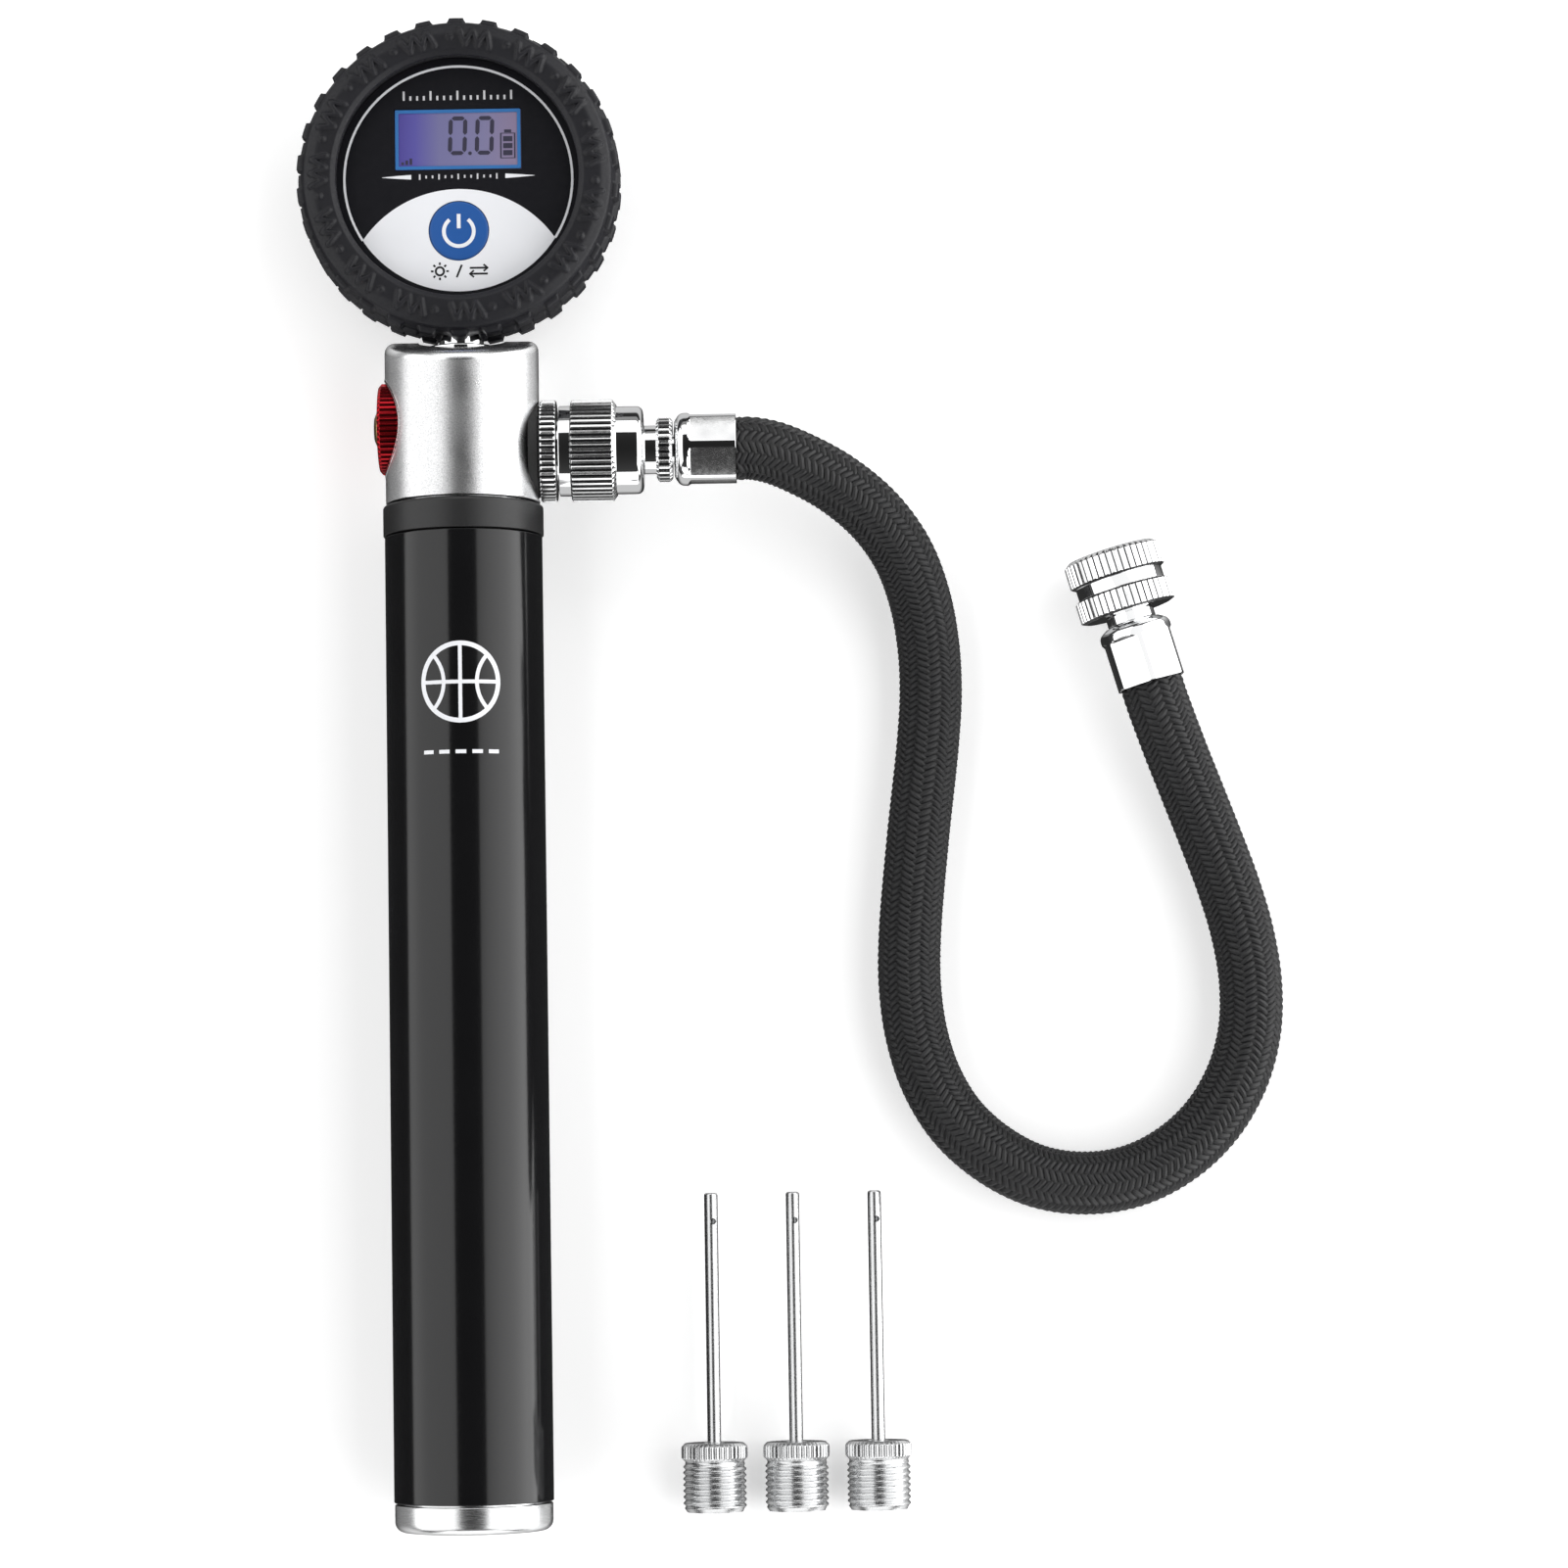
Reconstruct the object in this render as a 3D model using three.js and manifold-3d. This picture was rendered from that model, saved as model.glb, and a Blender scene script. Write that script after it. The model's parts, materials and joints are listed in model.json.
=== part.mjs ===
// A mini pump with a digital gauge, a screw-on braided hose and three ball needles.
// Millimetres. +Y runs up the pump from the end cap to the gauge, +X points to the hose side, and
// +Z comes out of the dial. The pump lies on the plane z = 0, and the origin is the centre of the
// gauge's battery cover, on that plane.
import * as THREE from 'three';
import { mergeVertices } from 'three/addons/utils/BufferGeometryUtils.js';
import Module from 'manifold-3d';

const wasm = await Module();
wasm.setup();

// ---------------------------------------------------------------- driving dimensions

const AXIS_Z = 10.7; // height of the pump's axis, which is its widest radius
const GAP = 0.3; // clearance between pieces that face each other

// Handle: the sleeve that slides over the barrel, with its collar and cap
const COLLAR_R = 10.7;
const SLEEVE_R = 10.5;
const SLEEVE_WALL = 1;
const SLEEVE_TOP_Y = -48.1;
const SLEEVE_END_Y = -175.75;
const CAP_R = 10.4;
const CAP_END_Y = -179.6;
const CAP_ROUND = 1.3;

// Barrel and piston
const BARREL_R = 8.5;
const BARREL_BORE_R = 7.5;
const BARREL_TOP_Y = -40.9;
const BARREL_END_Y = -163.5;
const ROD_R = 3;
const PISTON_TOP_Y = -44.6;
const PISTON_END_Y = -54.8;

// Head
const HEAD_R = 10.3;
const HEAD_TOP_Y = -22.1;
const HEAD_END_Y = -43.6;
const HEAD_ROUND = 1.3;
const HEAD_SLOPE = THREE.MathUtils.degToRad(17); // of the top's upper half, under the gauge
const BLEED_Y = -33.3;
const BLEED_KNOB_R = 6;
const BLEED_WELL_R = 6.3;
const OUTLET_Y = -36.6;
const OUTLET_WELL_R = 6.4;
const BALL_R = 1.5;
const BALL_Y = -37.2;

// Hose connectors
const NUT_R = 6.84; // knurled rings at the head
const FERRULE_R = 4.87;
const FERRULE_START_X = 28.35;
const FERRULE_END_X = 36.6;
const HOSE_R = 4.25;
const BARB_R = 2;
const FAR_NUT_R = 6.6;
const FAR_X = 91.75; // where the far ferrule meets the hose
const FAR_Y = -68.6;
const FAR_Z = 6.65;
const FAR_TURN = THREE.MathUtils.degToRad(16.2); // from +Y towards -X

// Gauge
const BOOT_R = 21; // rubber tyre, without its lugs
const LUG_HEIGHT = 0.6;
const LUG_COUNT = 30;
const DIAL_OPENING_R = 16.2;
const DIAL_Z = 13.6; // top of the face plate
const BUTTON_R = 4;
const BUTTON_Y = -7.05;
const LCD_WIDTH = 16.8;
const LCD_HEIGHT = 8.1;
const LCD_Y = 5.36;
const COVER_R = 14.7;
const COVER_SCREW_PITCH_R = 13.75;

// Ball needles, lying beside the pump
const NEEDLE_X = [31.6, 42.5, 53.4];
const NEEDLE_BASE_Y = -178;
const NEEDLE_LENGTH = 42.2;
const NEEDLE_THREAD_R = 4.2;
const NEEDLE_COLLAR_R = 4.4;
const NEEDLE_TUBE_R = 0.9;

function beforeFerrule(distance) {
  return [FAR_X + distance * Math.sin(FAR_TURN), FAR_Y - distance * Math.cos(FAR_TURN), FAR_Z];
}

// The hose's centreline: straight out of the ferrule, down on to the surface, and back up to the
// height of the far fitting. The bends are the hose's own lie.
const HOSE_ROUTE = [
  [FERRULE_END_X + GAP, OUTLET_Y, AXIS_Z],
  [FERRULE_END_X + 2, OUTLET_Y, AXIS_Z],
  [41.5, -37.2, 10.6],
  [45.2, -38.7, 10.1],
  [50, -41.3, 8.9],
  [55, -45.4, 7.4],
  [58.7, -50.5, 6],
  [60.9, -56.4, 5],
  [62, -62.9, 4.5],
  [62.2, -69.4, 4.3],
  [61.7, -76, 4.3],
  [60.1, -89, 4.3],
  [58.8, -102, 4.3],
  [58.7, -108.8, 4.3],
  [59.5, -115.3, 4.3],
  [61.4, -121.4, 4.3],
  [64.7, -126.9, 4.3],
  [69.5, -131.3, 4.3],
  [75.3, -134.3, 4.3],
  [81.7, -135.3, 4.3],
  [88.1, -134.4, 4.3],
  [94, -131.5, 4.3],
  [98.8, -127.1, 4.3],
  [102.2, -121.5, 4.3],
  [104, -115.4, 4.3],
  [104.3, -109, 4.3],
  [103.4, -102.4, 4.3],
  [101.7, -96.1, 4.3],
  [99.5, -89.8, 4.4],
  [97.2, -83.7, 4.8],
  [94.9, -77.8, 5.7],
  [93, -72.6, 6.5],
  beforeFerrule(2),
  beforeFerrule(GAP),
];
const HOSE_STEPS = 54;
const HOSE_SIDES = 8;

// How finely round pieces are faceted
const LARGE = 32;
const MEDIUM = 20;
const SMALL = 14;
const TINY = 10;

// ---------------------------------------------------------------- materials

function paint(color, roughness, metalness = 0) {
  return new THREE.MeshStandardMaterial({ color, roughness, metalness });
}

const BLACK_ALUMINIUM = paint(0x111113, 0.3, 0.4);
const SATIN_SILVER = paint(0xc9cacc, 0.38, 1);
const POLISHED_SILVER = paint(0xdfe0e2, 0.15, 1);
const CHROME = paint(0xe6e7e9, 0.08, 1);
const STEEL = paint(0xb4b6ba, 0.3, 1);
const BRASS = paint(0xb8924a, 0.3, 1);
const RED_ANODISED = paint(0xb0131c, 0.35, 0.6);
const GREY_PLASTIC = paint(0x48484a, 0.6);
const BLACK_PLASTIC = paint(0x1a1a1c, 0.55);
const RUBBER = paint(0x242428, 0.85);
const BRAID = paint(0x1c1c1e, 0.7);
const DIAL_BLACK = paint(0x101013, 0.4);
const BUTTON_BLUE = paint(0x1f5fae, 0.45);
const LCD_BLUE = paint(0x6a66b8, 0.3);
const CIRCUIT_GREEN = paint(0x1d5a35, 0.6);

// ---------------------------------------------------------------- helpers

// Keeps only the positions, joins shared corners, drops faces of no area and turns faces outward.
function tidy(geometry) {
  const bare = geometry.clone();
  bare.deleteAttribute('normal');
  bare.deleteAttribute('uv');
  const merged = mergeVertices(bare, 1e-4);
  const position = merged.attributes.position;
  const [a, b, c] = [new THREE.Vector3(), new THREE.Vector3(), new THREE.Vector3()];
  const faces = [];
  let volume = 0;
  for (let i = 0; i < merged.index.count; i += 3) {
    const corners = [0, 1, 2].map((k) => merged.index.getX(i + k));
    if (new Set(corners).size < 3) continue;
    faces.push(corners);
    [a, b, c].forEach((v, k) => v.fromBufferAttribute(position, corners[k]));
    volume += a.dot(b.cross(c));
  }
  if (volume < 0) faces.forEach((corners) => corners.reverse());
  merged.setIndex(faces.flat());
  return merged;
}

// A closed profile of [radius, height] points turned about the Y axis.
function revolve(profile, sides) {
  const points = profile.map(([r, y]) => new THREE.Vector2(r, y));
  if (profile[0][0] > 0) points.push(points[0].clone());
  return tidy(new THREE.LatheGeometry(points, sides));
}

function rod(radius, from, to, sides) {
  return revolve([[0, from], [radius, from], [radius, to], [0, to]], sides);
}

function ring(bore, radius, from, to, sides) {
  return revolve([[bore, from], [radius, from], [radius, to], [bore, to]], sides);
}

// Points of a quarter round from (r, y + size) level to (r - size, y), seen as a convex corner.
function corner(r, y, size, up) {
  const steps = 3;
  return Array.from({ length: steps + 1 }, (_, i) => {
    const angle = (up ? i : steps - i) * (Math.PI / 2 / steps);
    const rise = size * Math.sin(angle) - size;
    return [r - size + size * Math.cos(angle), up ? y + rise : y - rise];
  });
}

// A grip ring with straight teeth along the Y axis.
function grip(radius, depth, teeth, from, to) {
  const outline = new THREE.Shape();
  for (let i = 0; i < 2 * teeth; i++) {
    const angle = (i * Math.PI) / teeth;
    const r = i % 2 ? radius - depth : radius;
    outline[i ? 'lineTo' : 'moveTo'](r * Math.cos(angle), r * Math.sin(angle));
  }
  const solid = new THREE.ExtrudeGeometry(outline, { depth: to - from, bevelEnabled: false });
  return tidy(solid.rotateX(-Math.PI / 2).translate(0, from, 0));
}

function box(sizeX, sizeY, sizeZ, x, y, z) {
  return tidy(new THREE.BoxGeometry(sizeX, sizeY, sizeZ).translate(x, y, z));
}

function alongX(geometry, sense = 1) {
  return geometry.rotateZ((-sense * Math.PI) / 2);
}

function alongZ(geometry) {
  return geometry.rotateX(Math.PI / 2);
}

function toSolid(geometry) {
  const clean = tidy(geometry);
  return new wasm.Manifold(
    new wasm.Mesh({
      numProp: 3,
      vertProperties: clean.attributes.position.array,
      triVerts: new Uint32Array(clean.index.array),
    }),
  );
}

function fromSolid(solid) {
  const { vertProperties, triVerts } = solid.getMesh();
  const geometry = new THREE.BufferGeometry();
  geometry.setAttribute('position', new THREE.BufferAttribute(vertProperties, 3));
  geometry.setIndex(new THREE.BufferAttribute(triVerts, 1));
  return geometry;
}

function join(first, ...others) {
  return fromSolid(others.reduce((solid, g) => solid.add(toSolid(g)), toSolid(first)));
}

function cut(first, ...others) {
  return fromSolid(others.reduce((solid, g) => solid.subtract(toSolid(g)), toSolid(first)));
}

const pump = new THREE.Group();

// A group whose own Y axis points along a piece's axis, turned about Z from the pump's +Y.
function axis(x, y, z, turn = 0) {
  const group = new THREE.Group();
  group.position.set(x, y, z);
  group.rotation.z = turn;
  pump.add(group);
  return group;
}

function place(group, name, geometry, material) {
  const mesh = new THREE.Mesh(geometry, material);
  mesh.name = name;
  group.add(mesh);
}

// ---------------------------------------------------------------- head

const pumpAxis = axis(0, 0, AXIS_Z);

const VALVE_CHAMBER_R = 1.9;
const VALVE_CHAMBER_TOP_Y = -32;
const SOCKET_TOP_Y = -40.3;
const DISH_R = 5.6;
const DISH_Y = HEAD_TOP_Y - 2.4;
const PORT_R = 3.25;
const PORT_END_Y = -29.5;
const SEAT_BORE_R = 3.2;
const SEAT_BORE_TOP_Y = -38.3;
const BLEED_WELL_X = 7.4;
const BLEED_BORE_R = 2.5;
const BLEED_BORE_X = 3.6;
const BLEED_DUCT_R = 0.9;
const OUTLET_WELL_X = 9.6;
const OUTLET_BORE_R = 3;
const OUTLET_BORE_X = 3.2;
const OUTLET_DUCT_R = 1.1;
const DUCT_START_X = 0.5; // where both side ducts leave the valve chamber
const PORT_DUCT_R = 1;
const OVERLAP = 0.1; // how far one cutter reaches into the next
const EDGE = 0.3; // small chamfers

// What the slope takes off the top, above the pump's axis
function slopeCutter() {
  const size = 3 * HEAD_R;
  const block = new THREE.BoxGeometry(size, size, size).translate(0, size / 2, size / 2);
  return block.rotateX(HEAD_SLOPE).translate(0, HEAD_TOP_Y, 0);
}

function headBody() {
  const outside = revolve(
    [
      [0, HEAD_END_Y],
      [HEAD_R - EDGE, HEAD_END_Y],
      [HEAD_R, HEAD_END_Y + EDGE],
      ...corner(HEAD_R, HEAD_TOP_Y, HEAD_ROUND, true),
      [0, HEAD_TOP_Y],
    ],
    LARGE,
  );
  const bleed = (r, from, to, sides) =>
    alongX(rod(r, from, to, sides), -1).translate(0, BLEED_Y, 0);
  const outlet = (r, from, to, sides) => alongX(rod(r, from, to, sides)).translate(0, OUTLET_Y, 0);
  return cut(
    outside,
    slopeCutter(),
    rod(DISH_R, DISH_Y, HEAD_TOP_Y + 1, MEDIUM),
    rod(PORT_R, PORT_END_Y, DISH_Y + OVERLAP, MEDIUM),
    rod(PORT_DUCT_R, VALVE_CHAMBER_TOP_Y - OVERLAP, PORT_END_Y + OVERLAP, TINY),
    rod(VALVE_CHAMBER_R, SEAT_BORE_TOP_Y - OVERLAP, VALVE_CHAMBER_TOP_Y, TINY),
    rod(SEAT_BORE_R, SOCKET_TOP_Y - OVERLAP, SEAT_BORE_TOP_Y, SMALL),
    rod(BARREL_R + GAP, HEAD_END_Y - 1, SOCKET_TOP_Y, LARGE),
    bleed(BLEED_WELL_R, BLEED_WELL_X, HEAD_R + 1, MEDIUM),
    bleed(BLEED_BORE_R, BLEED_BORE_X, BLEED_WELL_X + OVERLAP, SMALL),
    bleed(BLEED_DUCT_R, DUCT_START_X, BLEED_BORE_X + OVERLAP, TINY),
    outlet(OUTLET_WELL_R, OUTLET_WELL_X, HEAD_R + 1, MEDIUM),
    outlet(OUTLET_BORE_R, OUTLET_BORE_X, OUTLET_WELL_X + OVERLAP, SMALL),
    outlet(OUTLET_DUCT_R, DUCT_START_X, OUTLET_BORE_X + OVERLAP, TINY),
  );
}

place(pumpAxis, 'head_body', headBody(), SATIN_SILVER);

// The check valve: a drilled seat, a ball that lifts off it, and its spring.
const SEAT_TOP_Y = -38.5;
const SEAT_END_Y = -41.9;
const SEAT_R = 5;
const SEAT_NECK_R = 3;
const SEAT_DUCT_R = 0.9;

place(
  pumpAxis,
  'valve_seat',
  revolve(
    [
      [SEAT_DUCT_R, SEAT_END_Y],
      [SEAT_R, SEAT_END_Y],
      [SEAT_R, SOCKET_TOP_Y - GAP],
      [SEAT_NECK_R, SOCKET_TOP_Y - GAP],
      [SEAT_NECK_R, SEAT_TOP_Y],
      [SEAT_DUCT_R, SEAT_TOP_Y],
    ],
    SMALL,
  ),
  BRASS,
);
place(
  pumpAxis,
  'check_ball',
  tidy(new THREE.SphereGeometry(BALL_R, 12, 8).translate(0, BALL_Y, 0)),
  STEEL,
);

const SPRING_TURNS = 3;
const SPRING_R = 1.1;
const SPRING_WIRE_R = 0.18;
const SPRING_FROM_Y = BALL_Y + BALL_R + 0.25;
const SPRING_TO_Y = VALVE_CHAMBER_TOP_Y - 0.3;

// A polygon section swept along a curve.
function sweep(curve, radius, sides, steps) {
  const section = new THREE.Shape();
  for (let i = 0; i < sides; i++) {
    const angle = (i * 2 * Math.PI) / sides;
    section[i ? 'lineTo' : 'moveTo'](radius * Math.cos(angle), radius * Math.sin(angle));
  }
  return tidy(new THREE.ExtrudeGeometry(section, { steps, extrudePath: curve }));
}

function checkSpring() {
  const perTurn = 10;
  const count = SPRING_TURNS * perTurn;
  const points = Array.from({ length: count + 1 }, (_, i) => {
    const angle = (i * 2 * Math.PI) / perTurn;
    const y = THREE.MathUtils.lerp(SPRING_FROM_Y, SPRING_TO_Y, i / count);
    return new THREE.Vector3(SPRING_R * Math.cos(angle), y, SPRING_R * Math.sin(angle));
  });
  return sweep(new THREE.CatmullRomCurve3(points), SPRING_WIRE_R, 5, count);
}

place(pumpAxis, 'check_spring', checkSpring(), STEEL);

// ---------------------------------------------------------------- barrel

const BARREL_SEAL_BORE_R = 7;
const GUIDE_BORE_R = ROD_R + 0.2;
const GUIDE_FLANGE_R = BARREL_R - 0.1;
const GUIDE_FLANGE = 1.2; // thickness
const GUIDE_TOP_Y = BARREL_END_Y + 6;

place(
  pumpAxis,
  'inner_barrel',
  ring(BARREL_BORE_R, BARREL_R, BARREL_END_Y, BARREL_TOP_Y, LARGE),
  SATIN_SILVER,
);
place(
  pumpAxis,
  'barrel_seal',
  ring(BARREL_SEAL_BORE_R, BARREL_R + 0.1, BARREL_TOP_Y + 0.15, SOCKET_TOP_Y - 0.15, MEDIUM),
  RUBBER,
);
place(
  pumpAxis,
  'rod_guide',
  revolve(
    [
      [GUIDE_BORE_R, BARREL_END_Y - 0.2 - GUIDE_FLANGE],
      [GUIDE_FLANGE_R, BARREL_END_Y - 0.2 - GUIDE_FLANGE],
      [GUIDE_FLANGE_R, BARREL_END_Y - 0.2],
      [BARREL_BORE_R - 0.15, BARREL_END_Y - 0.2],
      [BARREL_BORE_R - 0.15, GUIDE_TOP_Y],
      [GUIDE_BORE_R, GUIDE_TOP_Y],
    ],
    MEDIUM,
  ),
  BLACK_PLASTIC,
);

// ---------------------------------------------------------------- handle

const COLLAR_TOP_Y = HEAD_END_Y - 0.25;
const COLLAR_END_Y = SLEEVE_TOP_Y + 0.25;
const COLLAR_BORE_R = BARREL_R + 0.2;
const SPIGOT_R = SLEEVE_R - SLEEVE_WALL - 0.2;
const SPIGOT_LENGTH = 5;
const RING_GROOVE_Y = -46.6;
const RING_GROOVE = 1.2; // width

place(
  pumpAxis,
  'guide_collar',
  revolve(
    [
      [COLLAR_BORE_R, COLLAR_END_Y - SPIGOT_LENGTH],
      [SPIGOT_R, COLLAR_END_Y - SPIGOT_LENGTH],
      [SPIGOT_R, COLLAR_END_Y],
      [COLLAR_R, COLLAR_END_Y],
      [COLLAR_R, COLLAR_TOP_Y - 0.5],
      [COLLAR_R - 0.4, COLLAR_TOP_Y],
      [COLLAR_BORE_R, COLLAR_TOP_Y],
      [COLLAR_BORE_R, RING_GROOVE_Y + RING_GROOVE],
      [SPIGOT_R + 0.1, RING_GROOVE_Y + RING_GROOVE],
      [SPIGOT_R + 0.1, RING_GROOVE_Y],
      [COLLAR_BORE_R, RING_GROOVE_Y],
    ],
    LARGE,
  ),
  GREY_PLASTIC,
);
place(
  pumpAxis,
  'wiper_ring',
  ring(BARREL_R + 0.1, SPIGOT_R, RING_GROOVE_Y + 0.1, RING_GROOVE_Y + RING_GROOVE - 0.1, LARGE),
  RUBBER,
);
place(
  pumpAxis,
  'outer_sleeve',
  ring(SLEEVE_R - SLEEVE_WALL, SLEEVE_R, SLEEVE_END_Y, SLEEVE_TOP_Y, LARGE),
  BLACK_ALUMINIUM,
);

const CAP_TOP_Y = SLEEVE_END_Y - 0.25;
const CAP_SPIGOT_TOP_Y = -171.5;
const CAP_GROOVE_Y = -174.2;
const CAP_FLOOR_Y = -177.5;
const CAP_GROOVE = 1; // width
const CAP_GROOVE_R = SPIGOT_R - 0.7;
const BUMP_STOP_R = 6.5;
const BUMP_STOP_LENGTH = 4.4;

place(
  pumpAxis,
  'end_cap',
  revolve(
    [
      [0, CAP_END_Y],
      ...corner(CAP_R, CAP_END_Y, CAP_ROUND, false),
      [CAP_R, CAP_TOP_Y],
      [SPIGOT_R, CAP_TOP_Y],
      [SPIGOT_R, CAP_GROOVE_Y],
      [CAP_GROOVE_R, CAP_GROOVE_Y],
      [CAP_GROOVE_R, CAP_GROOVE_Y + CAP_GROOVE],
      [SPIGOT_R, CAP_GROOVE_Y + CAP_GROOVE],
      [SPIGOT_R, CAP_SPIGOT_TOP_Y],
      [ROD_R + 0.1, CAP_SPIGOT_TOP_Y],
      [ROD_R + 0.1, CAP_FLOOR_Y],
      [0, CAP_FLOOR_Y],
    ],
    LARGE,
  ),
  POLISHED_SILVER,
);
place(
  pumpAxis,
  'cap_ring',
  ring(
    CAP_GROOVE_R + 0.1,
    SPIGOT_R + 0.1,
    CAP_GROOVE_Y + 0.1,
    CAP_GROOVE_Y + CAP_GROOVE - 0.1,
    MEDIUM,
  ),
  RUBBER,
);
place(
  pumpAxis,
  'bump_stop',
  ring(
    ROD_R + 0.1,
    BUMP_STOP_R,
    CAP_SPIGOT_TOP_Y + 0.1,
    CAP_SPIGOT_TOP_Y + 0.1 + BUMP_STOP_LENGTH,
    SMALL,
  ),
  RUBBER,
);

const BOLT_R = 1.5;
const BOLT_END_Y = -60;
const BOLT_HEAD_R = 3;
const BOLT_HEAD = 1.8; // height
const PISTON_R = 7.3;
const PISTON_GROOVE_R = 5.9;
const PISTON_GROOVE_END_Y = -50.6;
const PISTON_GROOVE_TOP_Y = -48.4;

place(
  pumpAxis,
  'piston_rod',
  revolve(
    [
      [0, CAP_FLOOR_Y + 0.2],
      [ROD_R, CAP_FLOOR_Y + 0.2],
      [ROD_R, PISTON_END_Y - 0.1],
      [BOLT_R + 0.1, PISTON_END_Y - 0.1],
      [BOLT_R + 0.1, BOLT_END_Y - 1],
      [0, BOLT_END_Y - 1],
    ],
    SMALL,
  ),
  STEEL,
);
place(
  pumpAxis,
  'piston',
  revolve(
    [
      [BOLT_R + 0.3, PISTON_END_Y],
      [PISTON_R, PISTON_END_Y],
      [PISTON_R, PISTON_GROOVE_END_Y],
      [PISTON_GROOVE_R, PISTON_GROOVE_END_Y],
      [PISTON_GROOVE_R, PISTON_GROOVE_TOP_Y],
      [PISTON_R, PISTON_GROOVE_TOP_Y],
      [PISTON_R, PISTON_TOP_Y],
      [BOLT_R + 0.3, PISTON_TOP_Y],
    ],
    MEDIUM,
  ),
  BLACK_PLASTIC,
);
place(
  pumpAxis,
  'piston_seal',
  ring(
    PISTON_GROOVE_R + 0.1,
    PISTON_R + 0.1,
    PISTON_GROOVE_END_Y + 0.2,
    PISTON_GROOVE_TOP_Y - 0.2,
    MEDIUM,
  ),
  RUBBER,
);
place(
  pumpAxis,
  'piston_bolt',
  revolve(
    [
      [0, BOLT_END_Y],
      [BOLT_R, BOLT_END_Y],
      [BOLT_R, PISTON_TOP_Y + 0.1],
      [BOLT_HEAD_R, PISTON_TOP_Y + 0.1],
      [BOLT_HEAD_R, PISTON_TOP_Y + 0.1 + BOLT_HEAD],
      [0, PISTON_TOP_Y + 0.1 + BOLT_HEAD],
    ],
    TINY,
  ),
  STEEL,
);

// ---------------------------------------------------------------- bleed valve, on the left

const bleedAxis = axis(0, BLEED_Y, AXIS_Z, Math.PI / 2);
const BLEED_FACE_X = 11.05;
const BLEED_TEETH = 26;
const BLEED_CHAMFER = 0.45;
const KNURL = 0.35; // depth of the grips' teeth
const SPINDLE_R = 1.8;
const SPINDLE_HEAD_R = 2.6;
const SPINDLE_GROOVE_R = 1.5;
const SPINDLE_GROOVE_X = 4.5;
const SPINDLE_GROOVE = 1.2; // width

place(
  bleedAxis,
  'bleed_knob',
  cut(
    join(
      grip(BLEED_KNOB_R, KNURL, BLEED_TEETH, BLEED_WELL_X + 0.6, BLEED_FACE_X - BLEED_CHAMFER),
      revolve(
        [
          [0, BLEED_WELL_X + 0.7],
          [BLEED_KNOB_R - KNURL, BLEED_WELL_X + 0.7],
          [BLEED_KNOB_R - KNURL, BLEED_FACE_X - BLEED_CHAMFER],
          [BLEED_KNOB_R - KNURL - BLEED_CHAMFER, BLEED_FACE_X],
          [0, BLEED_FACE_X],
        ],
        MEDIUM,
      ),
    ),
    rod(SPINDLE_R + 0.1, BLEED_WELL_X, BLEED_FACE_X + 1, TINY),
  ),
  RED_ANODISED,
);
place(
  bleedAxis,
  'bleed_spindle',
  revolve(
    [
      [0, 2.4],
      [0.6, 2.6],
      [0.7, BLEED_BORE_X],
      [SPINDLE_R, SPINDLE_GROOVE_X - 0.3],
      [SPINDLE_R, SPINDLE_GROOVE_X],
      [SPINDLE_GROOVE_R, SPINDLE_GROOVE_X],
      [SPINDLE_GROOVE_R, SPINDLE_GROOVE_X + SPINDLE_GROOVE],
      [SPINDLE_R, SPINDLE_GROOVE_X + SPINDLE_GROOVE],
      [SPINDLE_R, BLEED_FACE_X + 0.1],
      [SPINDLE_HEAD_R, BLEED_FACE_X + 0.1],
      [SPINDLE_HEAD_R - 0.5, BLEED_FACE_X + 0.5],
      [SPINDLE_HEAD_R / 2, BLEED_FACE_X + 0.7],
      [0, BLEED_FACE_X + 0.75],
    ],
    TINY,
  ),
  BRASS,
);
place(
  bleedAxis,
  'bleed_seal',
  ring(
    SPINDLE_GROOVE_R + 0.25,
    BLEED_BORE_R - 0.1,
    SPINDLE_GROOVE_X + 0.1,
    SPINDLE_GROOVE_X + SPINDLE_GROOVE - 0.1,
    TINY,
  ),
  RUBBER,
);

// ---------------------------------------------------------------- outlet and hose connector

const outletAxis = axis(0, OUTLET_Y, AXIS_Z, -Math.PI / 2);
const FLANGE_X = 10.45;
const FLANGE_END_X = 12.65;
const NIPPLE_END_X = 18;
const NUT_START_X = 12.95;
const GRIP_START_X = 14.6;
const GRIP_END_X = 20.1;
const BARREL_START_X = 20.65;
const NUT_END_X = 24.2;
const NIPPLE_R = 4;
const NIPPLE_TAIL_R = OUTLET_BORE_R - 0.2;
const NIPPLE_DUCT_R = 1.2;
const NIPPLE_START_X = 3.5;
const NUT_NECK_R = 6.2;
const NUT_BARREL_R = 5.87;
const NUT_FLOOR_X = 21.4; // inside the nut, where its end wall starts
const NUT_WALL_BORE_R = 2.9;
const FITTING_FLANGE_R = 3.9;
const FITTING_START_X = NIPPLE_END_X + 0.7;
const FITTING_R = NUT_WALL_BORE_R - 0.2;
const FITTING_NECK_R = 3.25;
const FITTING_GRIP_R = 4.3;
const FITTING_GRIP_X = 26.1;
const HOSE_DUCT_R = 1;

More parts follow.
